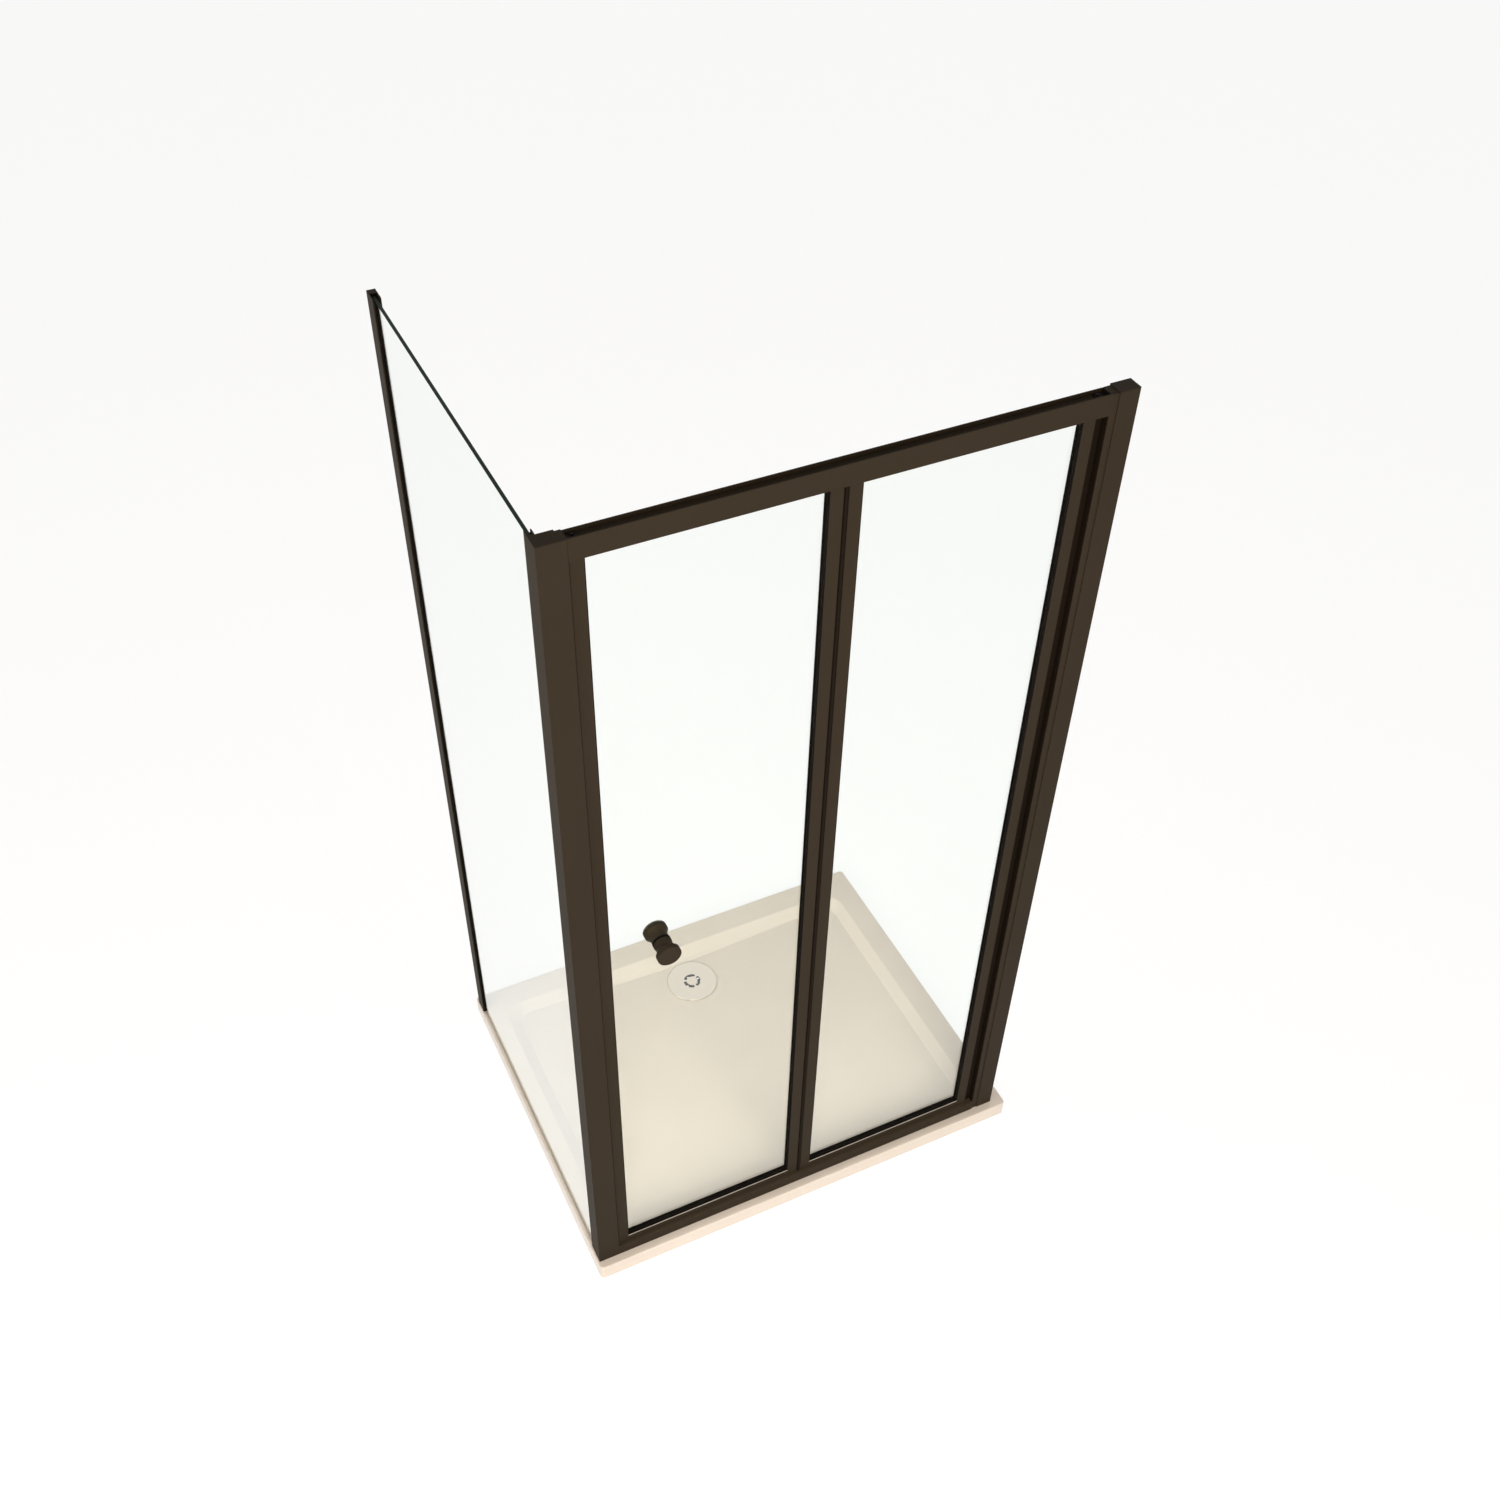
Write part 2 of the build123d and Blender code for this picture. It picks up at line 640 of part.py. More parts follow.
# Caps on the jamb and on the wall profile beside it
with BuildPart() as pivot_jamb_cap:
    with BuildSketch(level(jamb_height)):
        box_between((jamb_left, door_profile_left), (insert_front, insert_back))
    extrude(amount=jamb_cap_thickness)
pivot_jamb_cap.part.label = "pivot_jamb_cap"
export_step(pivot_jamb_cap.part, "parts/pivot_jamb_cap.step")

with BuildPart() as door_wall_profile_cap:
    with BuildSketch(level(profile_height)):
        box_between((door_profile_left, frame_width), (0, door_wall_profile_depth))
    extrude(amount=cap_thickness)
    with BuildSketch(level(profile_height)):
        box_between((insert_right + fit_clearance, frame_width - profile_wall - fit_clearance),
                    (profile_wall + fit_clearance, door_wall_profile_depth - profile_wall - fit_clearance))
    extrude(amount=-cap_plug_depth)
door_wall_profile_cap.part.label = "door_wall_profile_cap"
export_step(door_wall_profile_cap.part, "parts/door_wall_profile_cap.step")

# Jamb screws: they pin the jamb in the wall profile from inside the enclosure
with BuildPart() as jamb_screws:
    with BuildSketch(along(door_wall_profile_depth)):
        with Locations((jamb_screw_x, profile_height / 2)):
            with GridLocations(jamb_screw_pitch, jamb_screw_pitch, 1, jamb_screw_count):
                Circle(jamb_screw_head_diameter / 2)
    extrude(amount=-jamb_screw_head_height)
    fillet(jamb_screws.edges().group_by(Axis.Y)[-1], profile_edge_radius)
    with BuildSketch(along(door_wall_profile_depth)):
        with Locations((jamb_screw_x, profile_height / 2)):
            with GridLocations(jamb_screw_pitch, jamb_screw_pitch, 1, jamb_screw_count):
                Circle(jamb_screw_diameter / 2)
    extrude(amount=jamb_screw_length)
jamb_screws.part.label = "jamb_screws"
export_step(jamb_screws.part, "parts/jamb_screws.step")

# Pivot stop: the clip-on rebate that closes the gap behind the pivot leaf's edge, with a cheek
# that lines the jamb
stop_height = header_track_mouth - sill_height
stop_slot_floor = stop_left + profile_wall + seal_slot_depth
with BuildPart() as pivot_stop:
    with BuildSketch(level(sill_height)):
        box_between((stop_left, jamb_left), (stop_front, stop_front + stop_depth))
        box_between((jamb_left - stop_cheek, jamb_left), (stop_cheek_front, stop_front))
        slot_foot(jamb_left, stop_middle, 1)
        seal_slot(stop_left, stop_middle, 1)
        box_between((stop_slot_floor + profile_wall, jamb_left - profile_wall),
                    (stop_front + profile_wall, stop_front + stop_depth - profile_wall), Mode.SUBTRACT)
    extrude(amount=stop_height)
    fillet(pivot_stop.edges().filter_by(Axis.Z).group_by(Axis.X)[0].sort_by(Axis.Y)[0], profile_edge_radius)
pivot_stop.part.label = "pivot_stop"
export_step(pivot_stop.part, "parts/pivot_stop.step")

# Jamb seal: the rubber lip between the stop and the pivot leaf
with BuildPart() as jamb_seal:
    with BuildSketch(level(sill_height)):
        slot_foot(stop_left, stop_middle, 1)
        box_between((stop_left - stop_seal_projection, stop_left),
                    (stop_middle - stop_seal_bulb / 2, stop_middle + stop_seal_bulb / 2))
    extrude(amount=stop_height)
jamb_seal.part.label = "jamb_seal"
export_step(jamb_seal.part, "parts/jamb_seal.step")

# Header: an extrusion with a fascia, an open trough on top and the track underneath
header_rear_top = frame_height - header_rear_drop
rib_front = track_front - profile_wall
bracket_screw_left = post_width + bracket_screw_reach
bracket_screw_right = jamb_left - bracket_screw_reach
header_back = track_back + header_web
with BuildPart() as header_rail:
    with BuildSketch(across(post_width)):
        with BuildLine():
            Polyline((0, header_bottom),
                     (0, frame_height),
                     (header_web, frame_height),
                     (header_web, header_web_top),
                     (track_back, header_web_top),
                     (track_back, header_rear_top),
                     (header_back, header_rear_top),
                     (header_back, header_track_mouth),
                     (track_back, header_track_mouth),
                     (track_back, header_web_bottom),
                     (track_front, header_web_bottom),
                     (track_front, header_track_mouth),
                     (rib_front, header_track_mouth),
                     (rib_front, header_web_bottom),
                     (header_web, header_web_bottom),
                     (header_web, header_bottom),
                     close=True)
        make_face()
    extrude(amount=opening_length - header_end_gap)
    with BuildSketch(level(header_web_top)):
        with Locations((bracket_screw_left, pivot_y), (bracket_screw_right, pivot_y)):
            Circle(frame_screw_diameter / 2)
    extrude(amount=-header_web, mode=Mode.SUBTRACT)
header_rail.part.label = "header_rail"
export_step(header_rail.part, "parts/header_rail.step")

# Sill: an extrusion that stands on the tray's rim, with the lower track and weep slots
with BuildPart() as sill_rail:
    with BuildSketch(across(post_width)):
        with BuildLine():
            Polyline((0, 0),
                     (0, sill_height),
                     (track_front, sill_height),
                     (track_front, track_floor),
                     (track_back, track_floor),
                     (track_back, sill_rear_height),
                     (header_back, sill_rear_height),
                     (header_back, 0),
                     (track_back, 0),
                     (track_back, track_floor_bottom),
                     (rib_front, track_floor_bottom),
                     (rib_front, sill_height - profile_wall),
                     (profile_wall, sill_height - profile_wall),
                     (profile_wall, 0),
                     close=True)
        make_face()
    extrude(amount=opening_length)
    fillet(sill_rail.edges().filter_by(Axis.X).group_by(Axis.Z)[-1].sort_by(Axis.Y)[0], sill_edge_radius)
    with BuildSketch(along(header_back)):
        with Locations((post_width + opening_length / 2, track_floor + weep_slot_width / 2)):
            with GridLocations(weep_slot_pitch, weep_slot_pitch, weep_slot_count, 1):
                SlotOverall(weep_slot_length, weep_slot_width)
    extrude(amount=header_web, mode=Mode.SUBTRACT)
    with BuildSketch(level(track_floor)):
        with Locations((bracket_screw_left, pivot_y), (bracket_screw_right, pivot_y)):
            Circle(frame_screw_diameter / 2)
    extrude(amount=-header_web, mode=Mode.SUBTRACT)
sill_rail.part.label = "sill_rail"
export_step(sill_rail.part, "parts/sill_rail.step")

# Frame brackets: four bent angles that join the header and the sill to the post and the jamb
bracket_places = [(post_width, 1, header_web_top, 1),
                  (jamb_left, -1, header_web_top, 1),
                  (post_width, 1, track_floor_bottom, -1),
                  (jamb_left, -1, track_floor_bottom, -1)]
with BuildPart() as frame_brackets:
    with BuildSketch(along(bracket_setback)):
        for face, turn, seat, rise in bracket_places:
            box_between((face, face + turn * bracket_length), (seat, seat + rise * bracket_thickness))
            box_between((face, face + turn * bracket_thickness), (seat, seat + rise * bracket_height))
    extrude(amount=bracket_width / 2, both=True)
    for face, turn, seat, rise in bracket_places:
        with BuildSketch(across(face)):
            with Locations((joint_screw_setback, seat + rise * bracket_screw_rise)):
                Circle(frame_screw_diameter / 2)
        extrude(amount=turn * bracket_thickness, mode=Mode.SUBTRACT)
        with BuildSketch(level(seat)):
            with Locations((face + turn * bracket_screw_reach, pivot_y)):
                Circle(frame_screw_diameter / 2)
        extrude(amount=rise * bracket_thickness, mode=Mode.SUBTRACT)
frame_brackets.part.label = "frame_brackets"
export_step(frame_brackets.part, "parts/frame_brackets.step")

# Joint screws: four, through the brackets into the post and the jamb
with BuildPart() as joint_screws:
    for face, turn, seat, rise in bracket_places:
        with BuildSketch(across(face + turn * bracket_thickness)):
            with Locations((joint_screw_setback, seat + rise * bracket_screw_rise)):
                Circle(frame_screw_head_diameter / 2)
        extrude(amount=turn * frame_screw_head_height)
        with BuildSketch(across(face + turn * bracket_thickness)):
            with Locations((joint_screw_setback, seat + rise * bracket_screw_rise)):
                Circle(frame_screw_diameter / 2)
        extrude(amount=-turn * frame_screw_length)
joint_screws.part.label = "joint_screws"
export_step(joint_screws.part, "parts/joint_screws.step")

# Bracket screws: four, through the brackets into the header's web and the sill's track floor
with BuildPart() as bracket_screws:
    for face, turn, seat, rise in bracket_places:
        with BuildSketch(level(seat + rise * bracket_thickness)):
            with Locations((face + turn * bracket_screw_reach, pivot_y)):
                Circle(frame_screw_head_diameter / 2)
        extrude(amount=rise * frame_screw_head_height)
        with BuildSketch(level(seat + rise * bracket_thickness)):
            with Locations((face + turn * bracket_screw_reach, pivot_y)):
                Circle(frame_screw_diameter / 2)
        extrude(amount=-rise * (bracket_thickness + header_web))
bracket_screws.part.label = "bracket_screws"
export_step(bracket_screws.part, "parts/bracket_screws.step")

# Pivot bushes: plain bearings of hard plastic, fixed in the upper and the lower track
bush_faces = (track_front + fit_clearance, track_back - fit_clearance)
bush_span = (pivot_x - pivot_bush_length / 2, pivot_x + pivot_bush_length / 2)
bush_bore = pivot_pin_diameter / 2 + running_clearance
upper_bush_bottom = leaf_top + leaf_top_gap + bearing_gap
lower_bush_top = leaf_bottom - pivot_collar_height - bearing_gap
with BuildPart() as upper_pivot_bush:
    with BuildSketch(level(upper_bush_bottom)):
        box_between(bush_span, bush_faces)
    extrude(amount=header_web_bottom - upper_bush_bottom)
    with Locations(level(upper_bush_bottom)):
        with Locations((pivot_x, pivot_y, header_track_height)):
            Hole(bush_bore)
upper_pivot_bush.part.label = "upper_pivot_bush"
export_step(upper_pivot_bush.part, "parts/upper_pivot_bush.step")

with BuildPart() as lower_pivot_bush:
    with BuildSketch(level(track_floor)):
        box_between(bush_span, bush_faces)
    extrude(amount=lower_bush_top - track_floor)
    with Locations(level(lower_bush_top)):
        with Locations((pivot_x, pivot_y)):
            Hole(bush_bore)
lower_pivot_bush.part.label = "lower_pivot_bush"
export_step(lower_pivot_bush.part, "parts/lower_pivot_bush.step")

# Door leaves: each has two grooved stiles, two grooved rails, a pane in a rubber gasket, end
# plugs for its pins, corner screws and a drip seal
stile_core = stile_width - glazing_groove_depth
rail_core = rail_width - glazing_groove_depth
port_height = rail_core - leaf_wall / 2
leaf_inside = (leaf_setback + leaf_wall, leaf_back - leaf_wall)
lip_inside = (leaf_setback + leaf_wall, groove_front - leaf_wall)
leaf_screw_heights = (leaf_bottom + port_height, leaf_top - port_height)
leaf_screw_y = leaf_setback + leaf_screw_setback
countersink_depth = leaf_wall
hinge_slot_middle = leaf_setback + hinge_slot_setback
knuckle_pitch = leaf_height / knuckle_count
knuckle_length = knuckle_pitch - knuckle_play
knuckle_starts = [leaf_bottom + knuckle_pitch * i + knuckle_play / 2 for i in range(knuckle_count)]


def stile_section(edge, inward):
    """A stile's section in the open sketch: outer edge at X edge, glazing groove inward of it."""
    box_between((edge, edge + inward * stile_width), (leaf_setback, leaf_back))
    box_between((edge + inward * leaf_wall, edge + inward * (stile_core - leaf_wall)), leaf_inside,
                Mode.SUBTRACT)
    box_between((edge + inward * stile_core, edge + inward * (stile_width - leaf_wall)), lip_inside,
                Mode.SUBTRACT)
    box_between((edge + inward * stile_core, edge + inward * stile_width), (groove_front, groove_back),
                Mode.SUBTRACT)


def hinge_slot(edge, inward):
    """The slot in a hinge stile's outer wall that a hinge strip's foot slides in."""
    box_between((edge, edge + inward * leaf_wall),
                (hinge_slot_middle - seal_slot_mouth / 2, hinge_slot_middle + seal_slot_mouth / 2),
                Mode.SUBTRACT)


def strip_section(edge, inward):
    """A hinge strip's section in the open sketch: a plate on the stile's edge and a foot in its slot."""
    foot_start = edge + inward * (leaf_wall + running_clearance)
    neck = seal_slot_mouth / 2 - fit_clearance
    foot = seal_slot_width / 2
    box_between((edge - inward * hinge_strip_thickness, edge),
                (leaf_setback + hinge_strip_front, leaf_setback + hinge_strip_back))
    box_between((edge, foot_start), (hinge_slot_middle - neck, hinge_slot_middle + neck))
    box_between((foot_start, foot_start + inward * hinge_foot_thickness),
                (hinge_slot_middle - foot, hinge_slot_middle + foot))


def rail_section(edge, inward):
    """A rail's section across the leaf: outer edge at height edge, glazing groove inward of it."""
    box_between((leaf_setback, leaf_back), (edge, edge + inward * rail_width))
    box_between(leaf_inside, (edge + inward * leaf_wall, edge + inward * (rail_core - leaf_wall)),
                Mode.SUBTRACT)
    box_between(lip_inside, (edge + inward * rail_core, edge + inward * (rail_width - leaf_wall)),
                Mode.SUBTRACT)
    box_between((groove_front, groove_back), (edge + inward * rail_core, edge + inward * rail_width),
                Mode.SUBTRACT)
    with Locations((leaf_screw_y, edge + inward * port_height)):
        Circle(leaf_screw_diameter / 2 + screw_port_wall)
        Circle(leaf_screw_diameter / 2, mode=Mode.SUBTRACT)


def screw_holes(edge, inward):
    """The two countersunk holes right through a stile, at the heights of the rails' ports."""
    face = Plane(origin=(frame_left + edge, frame_front + leaf_screw_y, tray_height),
                 x_dir=(0, 1, 0), z_dir=(-inward, 0, 0))
    for z in leaf_screw_heights:
        with Locations(face):
            with Locations((0, -inward * z)):
                CounterSinkHole(leaf_screw_diameter / 2 + leaf_screw_clearance,
                                leaf_screw_head_diameter / 2 + leaf_screw_clearance,
                                depth=stile_width,
                                counter_sink_angle=2 * countersink_half_angle)


# Pivot stile: the stile beside the wall, with the pivot pins in its ends
with BuildPart() as pivot_stile:
    with BuildSketch(level(leaf_bottom)):
        stile_section(pivot_right, -1)
    extrude(amount=leaf_height)
    fillet(pivot_stile.edges().filter_by(Axis.Z).group_by(Axis.Y)[0], profile_edge_radius)
    fillet(pivot_stile.edges().filter_by(Axis.Z).group_by(Axis.Y)[-1], profile_edge_radius)
    screw_holes(pivot_right, -1)
pivot_stile.part.label = "pivot_stile"
export_step(pivot_stile.part, "parts/pivot_stile.step")

# Hinge stiles: the two stiles that meet at the fold
with BuildPart() as pivot_leaf_hinge_stile:
    with BuildSketch(level(leaf_bottom)):
        stile_section(pivot_left, 1)
        hinge_slot(pivot_left, 1)
    extrude(amount=leaf_height)
    fillet(pivot_leaf_hinge_stile.edges().filter_by(Axis.Z).group_by(Axis.Y)[-1], profile_edge_radius)
    screw_holes(pivot_left, 1)
pivot_leaf_hinge_stile.part.label = "pivot_leaf_hinge_stile"
export_step(pivot_leaf_hinge_stile.part, "parts/pivot_leaf_hinge_stile.step")

with BuildPart() as leading_leaf_hinge_stile:
    with BuildSketch(level(leaf_bottom)):
        stile_section(leading_right, -1)
        hinge_slot(leading_right, -1)
    extrude(amount=leaf_height)
    fillet(leading_leaf_hinge_stile.edges().filter_by(Axis.Z).group_by(Axis.Y)[-1], profile_edge_radius)
    screw_holes(leading_right, -1)
leading_leaf_hinge_stile.part.label = "leading_leaf_hinge_stile"
export_step(leading_leaf_hinge_stile.part, "parts/leading_leaf_hinge_stile.step")

# Hinge strips: two full-height strips whose knuckles interleave. The pivot leaf's turns on the
# rod, and the leading leaf's grips it.
strip_faces = (leaf_setback + hinge_strip_front, leaf_setback + hinge_strip_front + knuckle_web)
with BuildPart() as pivot_leaf_hinge_strip:
    with BuildSketch(level(leaf_bottom)):
        strip_section(pivot_left, 1)
    extrude(amount=leaf_height)
    with BuildSketch(*[level(z) for z in knuckle_starts[1::2]]):
        box_between((hinge_x, pivot_left - hinge_strip_thickness), strip_faces)
        with Locations((hinge_x, hinge_y)):
            Circle(knuckle_diameter / 2)
    extrude(amount=knuckle_length)
    with Locations(level(leaf_top)):
        with Locations((hinge_x, hinge_y)):
            Hole(hinge_rod_diameter / 2 + running_clearance)
pivot_leaf_hinge_strip.part.label = "pivot_leaf_hinge_strip"
export_step(pivot_leaf_hinge_strip.part, "parts/pivot_leaf_hinge_strip.step")

with BuildPart() as leading_leaf_hinge_strip:
    with BuildSketch(level(leaf_bottom)):
        strip_section(leading_right, -1)
    extrude(amount=leaf_height)
    with BuildSketch(*[level(z) for z in knuckle_starts[0::2]]):
        box_between((leading_right + hinge_strip_thickness, hinge_x), strip_faces)
        with Locations((hinge_x, hinge_y)):
            Circle(knuckle_diameter / 2)
    extrude(amount=knuckle_length)
    with Locations(level(leaf_top)):
        with Locations((hinge_x, hinge_y)):
            Hole(hinge_rod_diameter / 2)
leading_leaf_hinge_strip.part.label = "leading_leaf_hinge_strip"
export_step(leading_leaf_hinge_strip.part, "parts/leading_leaf_hinge_strip.step")

# Leading stile: the stile that closes against the post, with the guide pins in its ends
with BuildPart() as leading_stile:
    with BuildSketch(level(leaf_bottom)):
        stile_section(leading_left, 1)
    extrude(amount=leaf_height)
    fillet(leading_stile.edges().filter_by(Axis.Z).group_by(Axis.Y)[0], profile_edge_radius)
    fillet(leading_stile.edges().filter_by(Axis.Z).group_by(Axis.Y)[-1], profile_edge_radius)
    screw_holes(leading_left, 1)
leading_stile.part.label = "leading_stile"
export_step(leading_stile.part, "parts/leading_stile.step")

# Hinge rod: one full-height rod through all the knuckles
with BuildPart() as hinge_rod:
    with BuildSketch(level(leaf_bottom + knuckle_play)):
        with Locations((hinge_x, hinge_y)):
            Circle(hinge_rod_diameter / 2)
    extrude(amount=leaf_height - 2 * knuckle_play)
hinge_rod.part.label = "hinge_rod"
export_step(hinge_rod.part, "parts/hinge_rod.step")

# Rails
rail_length = leaf_width - 2 * stile_width
with BuildPart() as pivot_leaf_top_rail:
    with BuildSketch(across(pivot_left + stile_width)):
        rail_section(leaf_top, -1)
    extrude(amount=rail_length)
pivot_leaf_top_rail.part.label = "pivot_leaf_top_rail"
export_step(pivot_leaf_top_rail.part, "parts/pivot_leaf_top_rail.step")

with BuildPart() as pivot_leaf_bottom_rail:
    with BuildSketch(across(pivot_left + stile_width)):
        rail_section(leaf_bottom, 1)
    extrude(amount=rail_length)
pivot_leaf_bottom_rail.part.label = "pivot_leaf_bottom_rail"
export_step(pivot_leaf_bottom_rail.part, "parts/pivot_leaf_bottom_rail.step")

with BuildPart() as leading_leaf_top_rail:
    with BuildSketch(across(leading_left + stile_width)):
        rail_section(leaf_top, -1)
    extrude(amount=rail_length)
leading_leaf_top_rail.part.label = "leading_leaf_top_rail"
export_step(leading_leaf_top_rail.part, "parts/leading_leaf_top_rail.step")

with BuildPart() as leading_leaf_bottom_rail:
    with BuildSketch(across(leading_left + stile_width)):
        rail_section(leaf_bottom, 1)
    extrude(amount=rail_length)
leading_leaf_bottom_rail.part.label = "leading_leaf_bottom_rail"
export_step(leading_leaf_bottom_rail.part, "parts/leading_leaf_bottom_rail.step")

# Panes: toughened glass, with a hole for the knobs in the leading one
pane_inset = stile_width - glass_bite
pane_width = leaf_width - 2 * pane_inset
pane_height = leaf_height - 2 * (rail_width - glass_bite)
pane_middle_z = leaf_bottom + leaf_height / 2
knob_x = post_width + knob_from_post
pivot_leaf_middle = pivot_left + leaf_width / 2
leading_leaf_middle = leading_left + leaf_width / 2
with BuildPart() as pivot_leaf_glass:
    with BuildSketch(along(glass_back)):
        with Locations((pivot_leaf_middle, pane_middle_z)):
            Rectangle(pane_width, pane_height)
    extrude(amount=glass_thickness)
pivot_leaf_glass.part.label = "pivot_leaf_glass"
export_step(pivot_leaf_glass.part, "parts/pivot_leaf_glass.step")

with BuildPart() as leading_leaf_glass:
    with BuildSketch(along(glass_back)):
        with Locations((leading_leaf_middle, pane_middle_z)):
            Rectangle(pane_width, pane_height)
        with Locations((knob_x, knob_height)):
            Circle(knob_glass_hole / 2, mode=Mode.SUBTRACT)
    extrude(amount=glass_thickness)
leading_leaf_glass.part.label = "leading_leaf_glass"
export_step(leading_leaf_glass.part, "parts/leading_leaf_glass.step")

# Gaskets: black rubber U-sections round the panes, with a lip that stands out of the frame
gasket_margin = glazing_groove_depth - glass_bite
sight_width = leaf_width - 2 * stile_width - 2 * gasket_lip
sight_height = leaf_height - 2 * rail_width - 2 * gasket_lip
with BuildPart() as pivot_leaf_gasket:
    with BuildSketch(along(groove_back)):
        with Locations((pivot_leaf_middle, pane_middle_z)):
            Rectangle(pane_width + 2 * gasket_margin, pane_height + 2 * gasket_margin)
            Rectangle(sight_width, sight_height, mode=Mode.SUBTRACT)
    extrude(amount=groove_back - groove_front)
    with BuildSketch(along(glass_back)):
        with Locations((pivot_leaf_middle, pane_middle_z)):
            Rectangle(pane_width, pane_height)
    extrude(amount=glass_thickness, mode=Mode.SUBTRACT)
pivot_leaf_gasket.part.label = "pivot_leaf_gasket"
export_step(pivot_leaf_gasket.part, "parts/pivot_leaf_gasket.step")

with BuildPart() as leading_leaf_gasket:
    with BuildSketch(along(groove_back)):
        with Locations((leading_leaf_middle, pane_middle_z)):
            Rectangle(pane_width + 2 * gasket_margin, pane_height + 2 * gasket_margin)
            Rectangle(sight_width, sight_height, mode=Mode.SUBTRACT)
    extrude(amount=groove_back - groove_front)
    with BuildSketch(along(glass_back)):
        with Locations((leading_leaf_middle, pane_middle_z)):
            Rectangle(pane_width, pane_height)
    extrude(amount=glass_thickness, mode=Mode.SUBTRACT)
leading_leaf_gasket.part.label = "leading_leaf_gasket"
export_step(leading_leaf_gasket.part, "parts/leading_leaf_gasket.step")

# Stile plugs: hard blocks in the stiles' ends that hold the pins
plug_bottoms = (leaf_bottom, leaf_top - plug_length)
plug_inset = leaf_wall + fit_clearance
plug_faces = (leaf_setback + plug_inset, leaf_back - plug_inset)
with BuildPart() as pivot_stile_plugs:
    with BuildSketch(*[level(z) for z in plug_bottoms]):
        box_between((pivot_right - plug_inset, pivot_right - stile_core + plug_inset), plug_faces)
    extrude(amount=plug_length)
    with Locations(level(leaf_top)):
        with Locations((pivot_x, pivot_y)):
            Hole(pivot_pin_diameter / 2)
    with BuildSketch(across(pivot_right)):
        with Locations(*[(leaf_screw_y, z) for z in leaf_screw_heights]):
            Circle(leaf_screw_diameter / 2 + leaf_screw_clearance)
    extrude(amount=-stile_width, mode=Mode.SUBTRACT)
pivot_stile_plugs.part.label = "pivot_stile_plugs"
export_step(pivot_stile_plugs.part, "parts/pivot_stile_plugs.step")

with BuildPart() as leading_stile_plugs:
    with BuildSketch(*[level(z) for z in plug_bottoms]):
        box_between((leading_left + plug_inset, leading_left + stile_core - plug_inset), plug_faces)
    extrude(amount=plug_length)
    with Locations(level(leaf_top)):
        with Locations((guide_x, pivot_y)):
            Hole(guide_pin_diameter / 2)
    with BuildSketch(across(leading_left)):
        with Locations(*[(leaf_screw_y, z) for z in leaf_screw_heights]):
            Circle(leaf_screw_diameter / 2 + leaf_screw_clearance)
    extrude(amount=stile_width, mode=Mode.SUBTRACT)
leading_stile_plugs.part.label = "leading_stile_plugs"
export_step(leading_stile_plugs.part, "parts/leading_stile_plugs.step")

# Leaf screws: countersunk, four to a leaf, through the stiles into the rails' ports
with BuildPart() as pivot_leaf_screws:
    for edge, inward in ((pivot_left, 1), (pivot_right, -1)):
        with BuildSketch(across(edge)):
            with Locations(*[(leaf_screw_y, z) for z in leaf_screw_heights]):
                Circle(leaf_screw_head_diameter / 2)
        extrude(amount=inward * countersink_depth, taper=countersink_half_angle)
        with BuildSketch(across(edge)):
            with Locations(*[(leaf_screw_y, z) for z in leaf_screw_heights]):
                Circle(leaf_screw_diameter / 2)
        extrude(amount=inward * leaf_screw_length)
pivot_leaf_screws.part.label = "pivot_leaf_screws"
export_step(pivot_leaf_screws.part, "parts/pivot_leaf_screws.step")

with BuildPart() as leading_leaf_screws:
    for edge, inward in ((leading_left, 1), (leading_right, -1)):
        with BuildSketch(across(edge)):
            with Locations(*[(leaf_screw_y, z) for z in leaf_screw_heights]):
                Circle(leaf_screw_head_diameter / 2)
        extrude(amount=inward * countersink_depth, taper=countersink_half_angle)
        with BuildSketch(across(edge)):
            with Locations(*[(leaf_screw_y, z) for z in leaf_screw_heights]):
                Circle(leaf_screw_diameter / 2)
        extrude(amount=inward * leaf_screw_length)
leading_leaf_screws.part.label = "leading_leaf_screws"
export_step(leading_leaf_screws.part, "parts/leading_leaf_screws.step")

# Pivot pins: the lower one has a collar that carries the door's weight
with BuildPart() as upper_pivot_pin:
    with BuildSketch(level(leaf_top - pivot_pin_engagement)):
        with Locations((pivot_x, pivot_y)):
            Circle(pivot_pin_diameter / 2)
    extrude(amount=pivot_pin_engagement + pivot_pin_length)
upper_pivot_pin.part.label = "upper_pivot_pin"
export_step(upper_pivot_pin.part, "parts/upper_pivot_pin.step")

with BuildPart() as lower_pivot_pin:
    with BuildSketch(level(leaf_bottom + pivot_pin_engagement)):
        with Locations((pivot_x, pivot_y)):
            Circle(pivot_pin_diameter / 2)
    extrude(amount=-pivot_pin_engagement - pivot_pin_length)
    with BuildSketch(level(leaf_bottom)):
        with Locations((pivot_x, pivot_y)):
            Circle(pivot_collar_diameter / 2)
    extrude(amount=-pivot_collar_height)
lower_pivot_pin.part.label = "lower_pivot_pin"
export_step(lower_pivot_pin.part, "parts/lower_pivot_pin.step")

# Guide pins: headed pins that keep the rollers in the two tracks
with BuildPart() as upper_guide_pin:
    with BuildSketch(level(leaf_top - pivot_pin_engagement)):
        with Locations((guide_x, pivot_y)):
            Circle(guide_pin_diameter / 2)
    extrude(amount=pivot_pin_engagement + guide_pin_length)
    with BuildSketch(level(leaf_top + guide_pin_length)):
        with Locations((guide_x, pivot_y)):
            Circle(guide_head_diameter / 2)
    extrude(amount=guide_head_height)
upper_guide_pin.part.label = "upper_guide_pin"
export_step(upper_guide_pin.part, "parts/upper_guide_pin.step")

